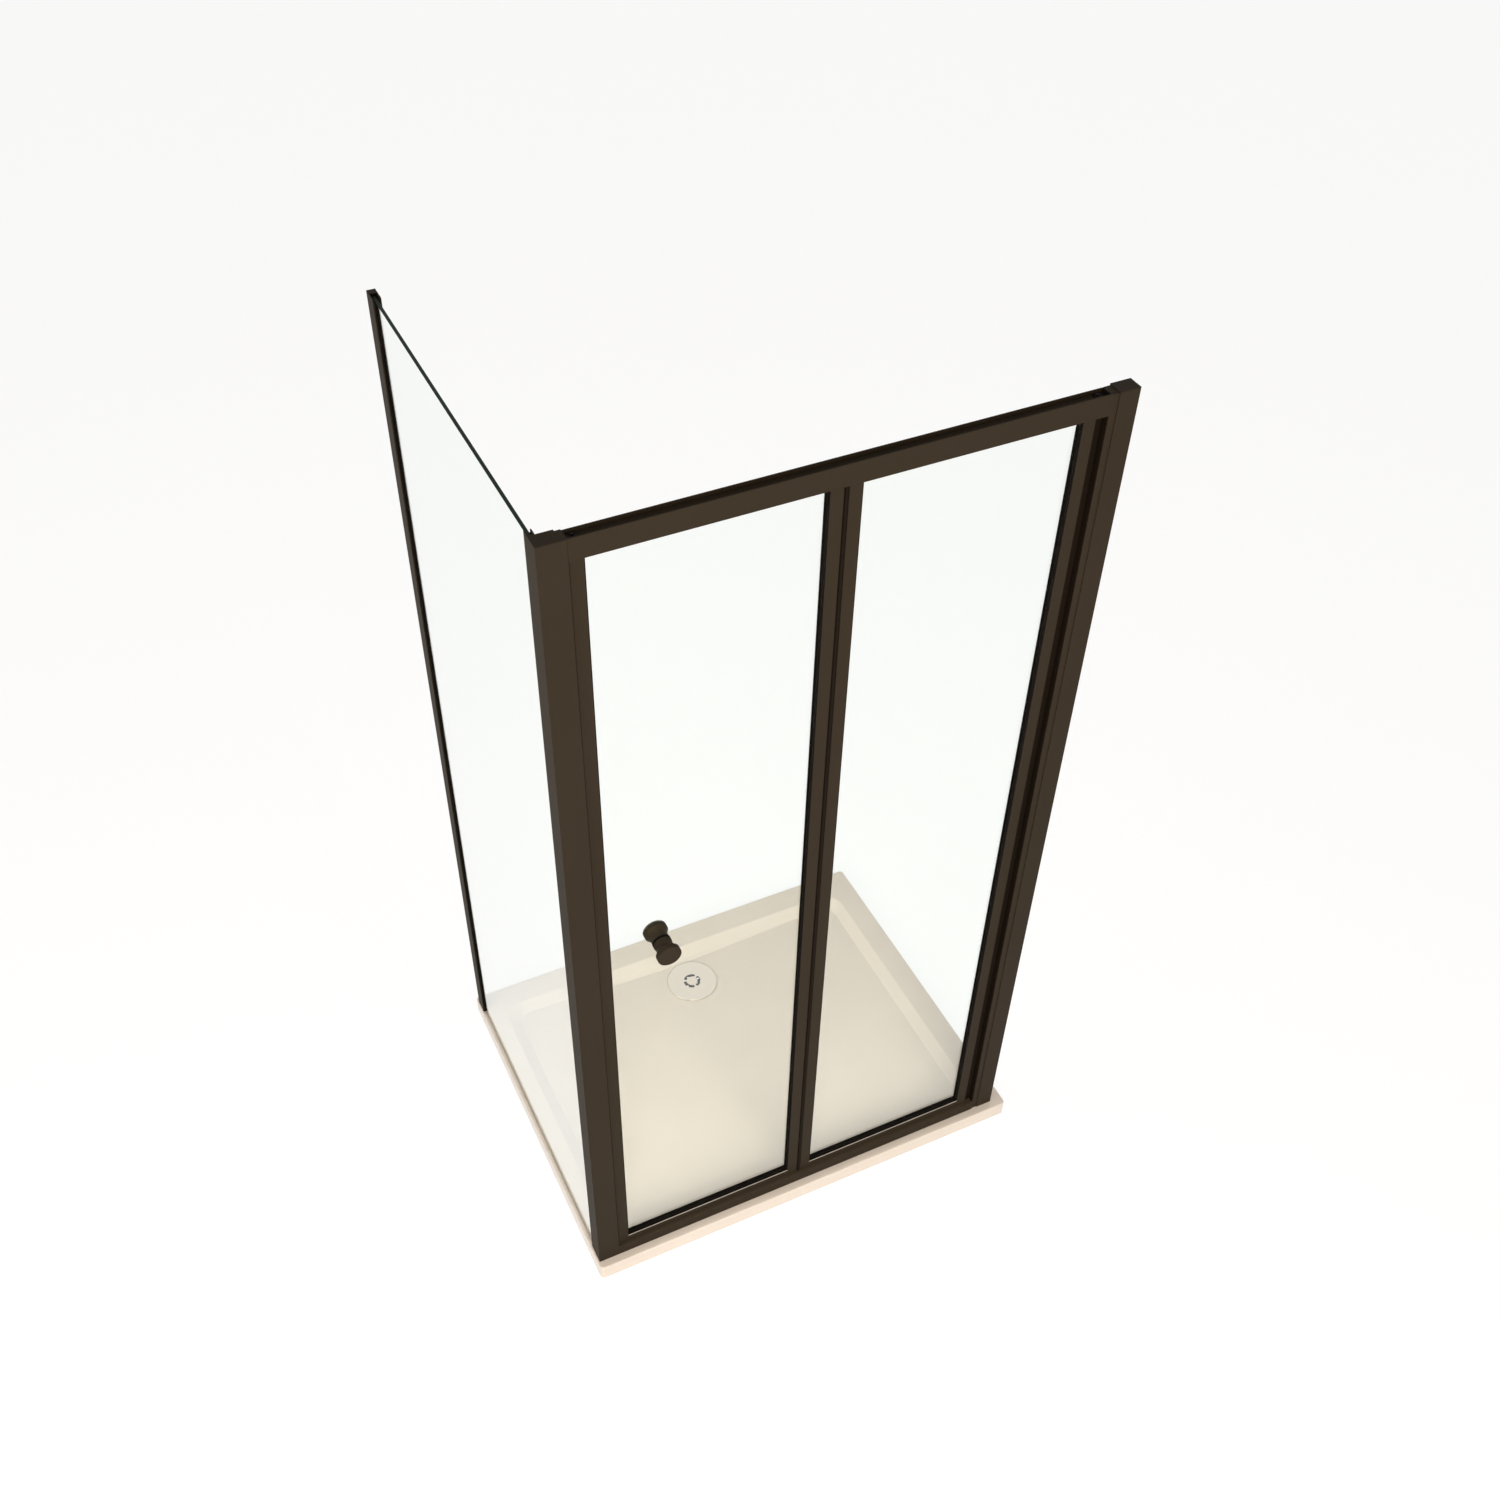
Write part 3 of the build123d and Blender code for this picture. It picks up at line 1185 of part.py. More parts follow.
lower_guide_reach = leaf_bottom - track_floor - guide_head_height - roller_play
with BuildPart() as lower_guide_pin:
    with BuildSketch(level(leaf_bottom + pivot_pin_engagement)):
        with Locations((guide_x, pivot_y)):
            Circle(guide_pin_diameter / 2)
    extrude(amount=-pivot_pin_engagement - lower_guide_reach)
    with BuildSketch(level(leaf_bottom - lower_guide_reach)):
        with Locations((guide_x, pivot_y)):
            Circle(guide_head_diameter / 2)
    extrude(amount=-guide_head_height)
lower_guide_pin.part.label = "lower_guide_pin"
export_step(lower_guide_pin.part, "parts/lower_guide_pin.step")

# Guide rollers: they turn on the guide pins and run in the tracks
roller_bore = guide_pin_diameter / 2 + running_clearance
upper_roller_bottom = leaf_top + guide_pin_length - roller_height - roller_play
with BuildPart() as upper_guide_roller:
    with BuildSketch(level(upper_roller_bottom)):
        with Locations((guide_x, pivot_y)):
            Circle(roller_diameter / 2)
            Circle(roller_bore, mode=Mode.SUBTRACT)
    extrude(amount=roller_height)
upper_guide_roller.part.label = "upper_guide_roller"
export_step(upper_guide_roller.part, "parts/upper_guide_roller.step")

lower_roller_bottom = leaf_bottom - lower_guide_reach + roller_play
with BuildPart() as lower_guide_roller:
    with BuildSketch(level(lower_roller_bottom)):
        with Locations((guide_x, pivot_y)):
            Circle(roller_diameter / 2)
            Circle(roller_bore, mode=Mode.SUBTRACT)
    extrude(amount=roller_height)
lower_guide_roller.part.label = "lower_guide_roller"
export_step(lower_guide_roller.part, "parts/lower_guide_roller.step")

# Drip seals: soft strips under the leaves that run just above the sill
drip_seal_faces = (leaf_setback + drip_seal_setback, leaf_setback + drip_seal_setback + drip_seal_width)
with BuildPart() as pivot_leaf_drip_seal:
    with BuildSketch(level(leaf_bottom)):
        box_between((pivot_left, pivot_right), drip_seal_faces)
    extrude(amount=-(leaf_bottom_gap - drip_seal_gap))
pivot_leaf_drip_seal.part.label = "pivot_leaf_drip_seal"
export_step(pivot_leaf_drip_seal.part, "parts/pivot_leaf_drip_seal.step")

with BuildPart() as leading_leaf_drip_seal:
    with BuildSketch(level(leaf_bottom)):
        box_between((leading_left, leading_right), drip_seal_faces)
    extrude(amount=-(leaf_bottom_gap - drip_seal_gap))
leading_leaf_drip_seal.part.label = "leading_leaf_drip_seal"
export_step(leading_leaf_drip_seal.part, "parts/leading_leaf_drip_seal.step")

# Knobs: two turned knobs on one stud, each with a waist and a wide head
knob_axis = Axis((frame_left + knob_x, 0, tray_height + knob_height), (0, 1, 0))
knob_seats = ((glass_front - knob_washer_thickness, -1), (glass_back + knob_washer_thickness, 1))
knob_plane = Plane(origin=(frame_left + knob_x, frame_front, tray_height + knob_height))


def knob_profile(seat, outward):
    """Half of a knob's section: radius along X, distance from the glass along Y."""
    def at(radius, reach):
        return (radius, seat + outward * reach)
    bore = knob_stud_diameter / 2
    head = knob_head_diameter / 2
    foot = knob_foot_diameter / 2
    points = [at(0, knob_stud_engagement), at(bore, knob_stud_engagement), at(bore, 0), at(foot, 0),
              at(foot, knob_foot_length)]
    rest = [at(head, knob_head_start), at(head, knob_face_edge), at(knob_face_radius, knob_length),
            at(0, knob_length)]
    waist = at(knob_waist_diameter / 2, knob_waist_reach)
    return points, waist, rest


with BuildPart() as knob_outer:
    inner_points, waist_point, head_points = knob_profile(*knob_seats[0])
    with BuildSketch(knob_plane):
        with BuildLine():
            Polyline(*inner_points)
            ThreePointArc(inner_points[-1], waist_point, head_points[0])
            Polyline(*head_points, inner_points[0])
        make_face()
    revolve(axis=knob_axis)
knob_outer.part.label = "knob_outer"
export_step(knob_outer.part, "parts/knob_outer.step")

with BuildPart() as knob_inner:
    inner_points, waist_point, head_points = knob_profile(*knob_seats[1])
    with BuildSketch(knob_plane):
        with BuildLine():
            Polyline(*inner_points)
            ThreePointArc(inner_points[-1], waist_point, head_points[0])
            Polyline(*head_points, inner_points[0])
        make_face()
    revolve(axis=knob_axis)
knob_inner.part.label = "knob_inner"
export_step(knob_inner.part, "parts/knob_inner.step")

# Knob washers: soft rings between the knobs and the glass
with BuildPart() as knob_washers:
    with BuildSketch(along(glass_front), along(glass_back + knob_washer_thickness)):
        with Locations((knob_x, knob_height)):
            Circle(knob_foot_diameter / 2)
            Circle(knob_stud_diameter / 2, mode=Mode.SUBTRACT)
    extrude(amount=knob_washer_thickness)
knob_washers.part.label = "knob_washers"
export_step(knob_washers.part, "parts/knob_washers.step")

# Knob stud: the threaded stud that joins the two knobs
stud_length = glass_thickness + 2 * knob_washer_thickness + 2 * knob_stud_engagement
with BuildPart() as knob_stud:
    with BuildSketch(along((glass_front + glass_back) / 2)):
        with Locations((knob_x, knob_height)):
            Circle(knob_stud_diameter / 2)
    extrude(amount=stud_length / 2, both=True)
knob_stud.part.label = "knob_stud"
export_step(knob_stud.part, "parts/knob_stud.step")
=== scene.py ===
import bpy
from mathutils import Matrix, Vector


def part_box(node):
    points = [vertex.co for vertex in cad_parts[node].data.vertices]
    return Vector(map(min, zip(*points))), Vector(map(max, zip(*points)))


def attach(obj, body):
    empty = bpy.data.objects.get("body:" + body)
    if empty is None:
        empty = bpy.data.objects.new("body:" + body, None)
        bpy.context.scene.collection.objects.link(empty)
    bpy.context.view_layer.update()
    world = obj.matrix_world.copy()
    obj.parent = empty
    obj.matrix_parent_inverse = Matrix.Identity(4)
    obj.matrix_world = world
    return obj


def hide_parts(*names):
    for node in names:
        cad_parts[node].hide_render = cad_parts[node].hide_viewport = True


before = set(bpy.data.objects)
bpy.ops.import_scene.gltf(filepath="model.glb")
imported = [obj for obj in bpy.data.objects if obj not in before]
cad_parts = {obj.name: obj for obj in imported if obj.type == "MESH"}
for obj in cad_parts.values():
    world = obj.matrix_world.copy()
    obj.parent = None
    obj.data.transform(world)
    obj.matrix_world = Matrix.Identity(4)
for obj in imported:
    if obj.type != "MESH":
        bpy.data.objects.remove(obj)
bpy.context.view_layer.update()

import math
import bpy
from mathutils import Matrix, Vector

# The camera stands in front of the corner post, well above the header, and looks down into the
# enclosure. Its frame is slightly off the lens's axis, as the photograph's is.
photo_side = 1500
focal_pixels = 1637.88
lens_axis_across = 722.49
lens_axis_down = 805.20
film_width = 36
eye = Vector((-1.0277, -2.0736, 3.1802))
sight = Vector((0.30441, 0.63591, -0.70919)).normalized()
level_right = Vector((0.90486, -0.42565, 0.00673))
right = (level_right - sight * level_right.dot(sight)).normalized()
upward = right.cross(sight)
camera_data = bpy.data.cameras.new("photo_camera")
camera_data.sensor_width = film_width
camera_data.lens = focal_pixels / photo_side * film_width
camera_data.shift_x = (photo_side / 2 - lens_axis_across) / photo_side
camera_data.shift_y = (lens_axis_down - photo_side / 2) / photo_side
camera_data.clip_start = 0.05
camera = bpy.data.objects.new("photo_camera", camera_data)
camera.matrix_world = Matrix((
    (right.x, upward.x, -sight.x, eye.x),
    (right.y, upward.y, -sight.y, eye.y),
    (right.z, upward.z, -sight.z, eye.z),
    (0, 0, 0, 1)))
bpy.context.scene.collection.objects.link(camera)
bpy.context.scene.camera = camera
bpy.context.scene.view_settings.view_transform = "Standard"

# Plain pale surroundings: a white sky that the eye, clear glass and polished metal see at full
# strength. What lights the object is pale at eye level and dimmer overhead.
level_height, overhead_height = 0.05, 0.6
level_strength, overhead_strength = 0.75, 0.25


def linear(hex_text):
    """An sRGB colour such as "8899aa" as linear red, green, blue and alpha."""
    parts = [int(hex_text[i:i + 2], 16) / 255 for i in (0, 2, 4)]
    return [p / 12.92 if p <= 0.04045 else ((p + 0.055) / 1.055) ** 2.4 for p in parts] + [1]


def add_node(tree, kind, sockets=None, **settings):
    """Adds a node, sets its fields, then fills its input sockets with values or links."""
    made = tree.nodes.new(kind)
    for name, value in settings.items():
        setattr(made, name, value)
    for name, value in (sockets or {}).items():
        if isinstance(value, bpy.types.NodeSocket):
            tree.links.new(value, made.inputs[name])
        else:
            made.inputs[name].default_value = value
    return made


def plainly_seen(tree):
    """1 for rays from the eye, through glass or off a polished face, and 0 for the rest."""
    path = add_node(tree, "ShaderNodeLightPath")
    through = add_node(tree, "ShaderNodeMath", {0: path.outputs["Is Camera Ray"],
                                                1: path.outputs["Is Transmission Ray"]},
                       operation="MAXIMUM")
    mirrored = add_node(tree, "ShaderNodeMath", {0: through.outputs[0],
                                                 1: path.outputs["Is Glossy Ray"]},
                        operation="MAXIMUM")
    return mirrored.outputs[0]


world = bpy.data.worlds.new("pale_surroundings")
bpy.context.scene.world = world
world.use_nodes = True
sky = world.node_tree
sky.nodes.clear()
direction = add_node(sky, "ShaderNodeTexCoord")
height = add_node(sky, "ShaderNodeSeparateXYZ", {0: direction.outputs["Generated"]})
light_by_height = add_node(sky, "ShaderNodeMapRange", {0: height.outputs["Z"],
                                                       1: level_height, 2: overhead_height,
                                                       3: level_strength, 4: overhead_strength})
lit = add_node(sky, "ShaderNodeBackground", {"Color": linear("fffbf5"),
                                             "Strength": light_by_height.outputs[0]})
shown = add_node(sky, "ShaderNodeBackground", {"Color": linear("fdfdfd"), "Strength": 1.0})
either = add_node(sky, "ShaderNodeMixShader", {0: plainly_seen(sky), 1: lit.outputs[0],
                                               2: shown.outputs[0]})
add_node(sky, "ShaderNodeOutputWorld", {"Surface": either.outputs[0]})

# Two large soft lamps: one in front of the door, a little above head height, and one to the left.
for name, place, aim, width, power, tint in (
        ("front_softbox", (-0.8, -3.2, 2.3), (0, -0.1, 0.6), 2.2, 92, "fff8f0"),
        ("left_softbox", (-3.2, -0.9, 2.4), (0, 0.1, 0.6), 2.0, 34, "fff9f2")):
    lamp_data = bpy.data.lights.new(name, "AREA")
    lamp_data.shape = "SQUARE"
    lamp_data.size = width
    lamp_data.energy = power
    lamp_data.color = linear(tint)[:3]
    lamp = bpy.data.objects.new(name, lamp_data)
    lamp.location = place
    lamp.rotation_euler = (Vector(aim) - Vector(place)).to_track_quat("-Z", "Y").to_euler()
    bpy.context.scene.collection.objects.link(lamp)

# The floor: a plain pale slab, a hair below the tray's underside. The eye sees it nearly as white
# as the sky, with the object's shadow left on it.
floor_width = 16
floor_drop = 0.0005
floor_glow = 0.89


def new_material(name):
    """An empty node material and its tree."""
    made = bpy.data.materials.new(name)
    made.use_nodes = True
    made.node_tree.nodes.clear()
    return made, made.node_tree


bpy.ops.mesh.primitive_plane_add(size=floor_width, location=(0, 0, -floor_drop))
floor = bpy.context.object
floor.name = "pale_floor"
floor_paint, tree = new_material("white_floor_paint")
paint = add_node(tree, "ShaderNodeBsdfDiffuse", {"Color": linear("f4f3f1")})
shade = add_node(tree, "ShaderNodeBsdfDiffuse", {"Color": linear("7c7b7a")})
glow = add_node(tree, "ShaderNodeEmission", {"Color": linear("fdfdfd"), "Strength": floor_glow})
both = add_node(tree, "ShaderNodeAddShader", {0: shade.outputs[0], 1: glow.outputs[0]})
floor_look = add_node(tree, "ShaderNodeMixShader", {0: plainly_seen(tree), 1: paint.outputs[0],
                                                    2: both.outputs[0]})
add_node(tree, "ShaderNodeOutputMaterial", {"Surface": floor_look.outputs[0]})
floor.data.materials.append(floor_paint)

# Shower tray: stone resin cast in a mould with a gel coat. The coat is creamy, evenly glossy and
# very slightly wavy, and the resin under it clouds its colour a little over a hand's width.
cloud_size = 0.12
wave_size = 0.03
wave_height = 0.0004


def mottled(tree, size, detail, dark, light):
    """A colour that drifts between two tones in patches of one size, with the nodes behind it."""
    place = add_node(tree, "ShaderNodeTexCoord")
    pattern = add_node(tree, "ShaderNodeTexNoise", {"Vector": place.outputs["Object"],
                                                    "Scale": 1 / size, "Detail": detail})
    tone = add_node(tree, "ShaderNodeMix", {"Factor": pattern.outputs["Fac"],
                                            6: linear(dark), 7: linear(light)}, data_type="RGBA")
    return place, pattern, tone.outputs[2]


def dress(material, *names):
    """Gives CAD nodes a material in place of the one they were packed with."""
    for name in names:
        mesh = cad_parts[name].data
        mesh.materials.clear()
        mesh.materials.append(material)


gel_coat, tree = new_material("gel_coated_stone_resin")
place, _, cream = mottled(tree, cloud_size, 3.0, "e4d6c7", "ebdfd2")
wave = add_node(tree, "ShaderNodeTexNoise", {"Vector": place.outputs["Object"],
                                             "Scale": 1 / wave_size, "Detail": 1.0})
wavy = add_node(tree, "ShaderNodeBump", {"Height": wave.outputs["Fac"], "Strength": 0.25,
                                         "Distance": wave_height})
coat = add_node(tree, "ShaderNodeBsdfPrincipled", {"Base Color": cream, "Roughness": 0.28,
                                                   "IOR": 1.52, "Coat Weight": 0.35,
                                                   "Coat Roughness": 0.08,
                                                   "Normal": wavy.outputs["Normal"]})
add_node(tree, "ShaderNodeOutputMaterial", {"Surface": coat.outputs[0]})
dress(gel_coat, "shower_tray")

# Waste flange: turned brass, chrome plated and polished, clamped in the tray by its nut. The
# plate is mirror bright with a few faint wipe marks.
smear_size = 0.015
chrome, tree = new_material("polished_chrome_plate")
place = add_node(tree, "ShaderNodeTexCoord")
smear = add_node(tree, "ShaderNodeTexNoise", {"Vector": place.outputs["Object"],
                                              "Scale": 1 / smear_size, "Detail": 4.0})
wiped = add_node(tree, "ShaderNodeMapRange", {0: smear.outputs["Fac"], 3: 0.04, 4: 0.12})
plate = add_node(tree, "ShaderNodeBsdfPrincipled", {"Base Color": linear("dfd4c3"),
                                                    "Metallic": 1.0,
                                                    "Roughness": wiped.outputs[0]})
add_node(tree, "ShaderNodeOutputMaterial", {"Surface": plate.outputs[0]})
dress(chrome, "waste_flange")

# Waste cover: a plated disc with three arc slots. The slots' walls and the underside are drawn
# near-black and rough as painted shade, and each long wall is set back 0.9 mm, so that the slots
# read from above.
slot_radius = 0.017
slot_reach = 0.0035
slot_set_back = 0.0009
upright_below = 0.7
underside_below = -0.5
slot_shade_patch_size = 0.002
merge_reach = 1e-6


def merged_copy(node, name):
    """A copy of a CAD node with its loose triangles merged, so that it can be shaped."""
    bpy.ops.object.select_all(action="DESELECT")
    copy = bpy.data.objects.new(name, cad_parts[node].data.copy())
    bpy.context.scene.collection.objects.link(copy)
    bpy.context.view_layer.objects.active = copy
    copy.select_set(True)
    bpy.ops.object.mode_set(mode="EDIT")
    bpy.ops.mesh.select_all(action="SELECT")
    bpy.ops.mesh.remove_doubles(threshold=merge_reach)
    bpy.ops.mesh.normals_make_consistent(inside=False)
    bpy.ops.object.mode_set(mode="OBJECT")
    copy.data.materials.clear()
    return copy


# Painted shade: a near-black colour on the slot walls and on the cover's underside.
slot_wall, tree = new_material("slot_wall_painted_shade")
_, _, slot_shade_tone = mottled(tree, slot_shade_patch_size, 2.0, "14110d", "1f1a15")
dull = add_node(tree, "ShaderNodeBsdfPrincipled", {"Base Color": slot_shade_tone, "Roughness": 0.7,
                                                   "Specular IOR Level": 0.1})
add_node(tree, "ShaderNodeOutputMaterial", {"Surface": dull.outputs[0]})
cover_low, cover_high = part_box("waste_cover")
cover_middle = (cover_low + cover_high) / 2
cover = merged_copy("waste_cover", "polished_waste_cover")
cover.data.materials.append(chrome)
cover.data.materials.append(slot_wall)
for face in cover.data.polygons:
    out = (face.center - cover_middle).to_2d().length
    in_a_slot = abs(out - slot_radius) < slot_reach and abs(face.normal.z) < upright_below
    face.material_index = 1 if in_a_slot or face.normal.z < underside_below else 0
for point in cover.data.vertices:
    spoke = (point.co - cover_middle).to_2d()
    if abs(spoke.length - slot_radius) < slot_reach:
        spoke *= 1 + math.copysign(slot_set_back, spoke.length - slot_radius) / spoke.length
        point.co.x, point.co.y = cover_middle.x + spoke.x, cover_middle.y + spoke.y
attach(cover, "enclosure")
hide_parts("waste_cover")

# Hinge rod, pivot and guide pins and the knobs' stud: stainless steel turned on a lathe, which
# leaves it satin.
tool_mark_size = 0.0015
steel, tree = new_material("turned_stainless_steel")
place = add_node(tree, "ShaderNodeTexCoord")
lathe = add_node(tree, "ShaderNodeTexNoise", {"Vector": place.outputs["Object"],
                                              "Scale": 1 / tool_mark_size, "Detail": 2.0})
turned = add_node(tree, "ShaderNodeMapRange", {0: lathe.outputs["Fac"], 3: 0.24, 4: 0.38})
bare = add_node(tree, "ShaderNodeBsdfPrincipled", {"Base Color": linear("b9b8b4"),
                                                   "Metallic": 1.0,
                                                   "Roughness": turned.outputs[0]})
add_node(tree, "ShaderNodeOutputMaterial", {"Surface": bare.outputs[0]})
dress(steel, "hinge_rod", "upper_pivot_pin", "lower_pivot_pin", "upper_guide_pin",
      "lower_guide_pin", "knob_stud")

# Frame, leaves and knobs: aluminium with a matt polyester powder coat, baked on. It cures to a
# fine orange peel, drawn at 1.2 mm, coarser than real, so that it shows.
drift_size = 0.25
peel_size = 0.0012
peel_height = 0.00012
brown_coat = ("2f271c", "352c22", 0.6, 0.07)


def powder(name, dark, light, rough, gloss):
    """A matt coat whose colour drifts a little along the piece; gloss is its specular level."""
    made, tree = new_material(name)
    place, _, tone = mottled(tree, drift_size, 2.0, dark, light)
    peel = add_node(tree, "ShaderNodeTexNoise", {"Vector": place.outputs["Object"],
                                                 "Scale": 1 / peel_size, "Detail": 2.0})
    grain = add_node(tree, "ShaderNodeMapRange", {0: peel.outputs["Fac"],
                                                  3: rough - 0.05, 4: rough + 0.07})
    bump = add_node(tree, "ShaderNodeBump", {"Height": peel.outputs["Fac"], "Strength": 0.35,
                                             "Distance": peel_height})
    skin = add_node(tree, "ShaderNodeBsdfPrincipled", {"Base Color": tone,
                                                       "Roughness": grain.outputs[0],
                                                       "IOR": 1.5, "Specular IOR Level": gloss,
                                                       "Normal": bump.outputs["Normal"]})
    add_node(tree, "ShaderNodeOutputMaterial", {"Surface": skin.outputs[0]})
    return made


powder_coat = powder("matt_powder_coated_aluminium", *brown_coat)
dress(powder_coat, "corner_post", "side_wall_profile", "door_wall_profile", "pivot_jamb",
      "header_rail", "pivot_stile", "pivot_leaf_hinge_stile", "pivot_leaf_top_rail",
      "leading_stile", "leading_leaf_hinge_stile", "leading_leaf_top_rail",
      "knob_outer", "knob_inner")

# Bottom rails of the leaves: the same coat. The photograph shows a thin pale line along their
# front top edge, and it is drawn there as a painted highlight, 1.3 mm high.
edge_highlight_height = 0.0013
edge_highlight_depth = 0.0006


def marked_coat(name, colour, *limits):
    """The brown coat, in another colour within limits: an axis, a comparison and its value."""
    made = powder(name, *brown_coat)
    tree = made.node_tree
    skin = next(node for node in tree.nodes if node.type == "BSDF_PRINCIPLED")
    place = next(node for node in tree.nodes if node.type == "TEX_COORD")
    where = add_node(tree, "ShaderNodeSeparateXYZ", {0: place.outputs["Object"]})
    marked = 1
    for axis, comparison, limit in limits:
        within = add_node(tree, "ShaderNodeMath", {0: where.outputs[axis], 1: limit},
                          operation=comparison)
        marked = add_node(tree, "ShaderNodeMath", {0: within.outputs[0], 1: marked},
                          operation="MULTIPLY").outputs[0]
    mixed = add_node(tree, "ShaderNodeMix",
                     {"Factor": marked, 6: skin.inputs["Base Color"].links[0].from_socket,
                      7: linear(colour)}, data_type="RGBA")
    tree.links.new(mixed.outputs[2], skin.inputs["Base Color"])
    return made


rail_low, rail_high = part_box("leading_leaf_bottom_rail")
# Painted highlight: a pale band along the rails' front top edge.
coat_with_painted_highlight = marked_coat("powder_coat_with_painted_edge_highlight", "d9cfc2",
                        ("Z", "GREATER_THAN", rail_high.z - edge_highlight_height),
                        ("Y", "LESS_THAN", rail_low.y + edge_highlight_depth))
dress(coat_with_painted_highlight, "pivot_leaf_bottom_rail", "leading_leaf_bottom_rail")

# Threshold: the same coat, bedded on the tray's rim. Its narrow ledge in front of the leaves is
# drawn paler as painted light, which takes away its shade, because the photograph shows no darker
# step there.
ledge_light_depth = 0.0004
sill_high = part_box("sill_rail")[1]
# Painted light: a paler colour on the threshold's top ledge.
coat_with_painted_ledge_light = marked_coat("powder_coat_with_painted_light_on_the_ledge", "443a2d",
                           ("Z", "GREATER_THAN", sill_high.z - ledge_light_depth))
dress(coat_with_painted_ledge_light, "sill_rail")

# Caps of the uprights: nylon moulded a little darker than the powder, with a dry grain, and
# pushed into the profiles' ends.
cap_nylon = powder("moulded_brown_nylon", "2a231a", "30281f", 0.62, 0.07)
dress(cap_nylon, "corner_post_cap", "side_wall_profile_cap", "door_wall_profile_cap",
      "pivot_jamb_cap")

# Lock nut, bushes, rollers, plugs, stop and hinge strips: glass-filled nylon, as moulded, nearly
# black. The strainer takes the same near-black as painted shade for the closed cavity under the
# cover.
nylon = powder("moulded_black_nylon", "160f08", "1c140c", 0.65, 0.06)
dress(nylon, "waste_lock_nut", "waste_strainer", "upper_pivot_bush", "lower_pivot_bush",
      "upper_guide_roller", "lower_guide_roller", "pivot_stile_plugs", "leading_stile_plugs",
      "pivot_stop", "pivot_leaf_hinge_strip", "leading_leaf_hinge_strip")

# Seals, glazing wedges and the knobs' washers: extruded or moulded EPDM rubber, dull and nearly
# black.
rubber = powder("extruded_black_rubber", "0d0a07", "130f0b", 0.8, 0.08)
dress(rubber, "waste_seal", "side_glazing_wedges", "strike_seal", "jamb_seal", "knob_washers")

# Drip strips under the leaves: soft extruded rubber, drawn in the coat's brown as painted light,
# so that the shaded gap under the leaves shows no dark line. The photograph doesn't show them.
drip_strip_painted_light = powder("brown_drip_strip_painted_light", "2d251a", "332a20", 0.75, 0.08)
dress(drip_strip_painted_light, "pivot_leaf_drip_seal", "leading_leaf_drip_seal")

# Glazing gaskets: black rubber pressed in round each pane. The front lip lines the frame's whole
# reveal, which shows as a black band at the foot of each pane. The back lip, less deep, lines the
# reveal inside the enclosure.
groove_wall = 0.001
lip_rise = 0.0014
lip_setback = 0.0005
lip_rounding = 0.0004
lip_rounding_steps = 3
same_depth = 1e-5
squarely_facing = 0.9


def start_ring(low, high, depth, *insets):
    """A rectangle across a leaf at one depth, open in the middle, inside its insets in turn."""
    bpy.ops.object.select_all(action="DESELECT")
    middle = ((low.x + high.x) / 2, depth, (low.z + high.z) / 2)
    bpy.ops.mesh.primitive_plane_add(size=1, location=middle, rotation=(math.pi / 2, 0, 0))
    flat = bpy.context.object
    flat.scale = (high.x - low.x, high.z - low.z, 1)
    bpy.ops.object.transform_apply(location=True, rotation=True, scale=True)
    bpy.ops.object.mode_set(mode="EDIT")
    bpy.ops.mesh.select_mode(type="FACE")
    bpy.ops.mesh.select_all(action="SELECT")
    for wide in insets:
        bpy.ops.mesh.inset(thickness=wide)
    bpy.ops.mesh.delete(type="ONLY_FACE")
    bpy.ops.mesh.select_all(action="SELECT")
    return flat


def close_ring(ring):
    """Turns the finished ring's faces outwards and rounds its long edges."""
    bpy.ops.mesh.select_all(action="SELECT")
    bpy.ops.mesh.normals_make_consistent(inside=False)
    bpy.ops.object.mode_set(mode="OBJECT")
    rounding = ring.modifiers.new("rounding", "BEVEL")
    rounding.width = lip_rounding
    rounding.segments = lip_rounding_steps
    bpy.ops.object.modifier_apply(modifier="rounding")


def glazing_lip(low, high, reveal, glass_face, lip_end):
    """A lip with its flat foot between pane and groove, reaching along the reveal to lip_end."""
    out = math.copysign(1, lip_end - glass_face)
    ring = start_ring(low, high, glass_face, reveal, lip_rise)
    bpy.ops.mesh.extrude_region_move(TRANSFORM_OT_translate={"value": (0, out * groove_wall, 0)})
    bpy.ops.mesh.select_all(action="DESELECT")
    bpy.ops.object.mode_set(mode="OBJECT")
    foot_face = glass_face + out * groove_wall
    for face in ring.data.polygons:
        inside = (low.x + reveal / 2 < face.center.x < high.x - reveal / 2
                  and low.z + reveal / 2 < face.center.z < high.z - reveal / 2)
        at_foot = abs(face.center.y - foot_face) < same_depth
        face.select = inside and at_foot and abs(face.normal.y) > squarely_facing
    bpy.ops.object.mode_set(mode="EDIT")
    bpy.ops.mesh.extrude_region_move(TRANSFORM_OT_translate={"value": (0, lip_end - foot_face, 0)})
    close_ring(ring)
    return ring


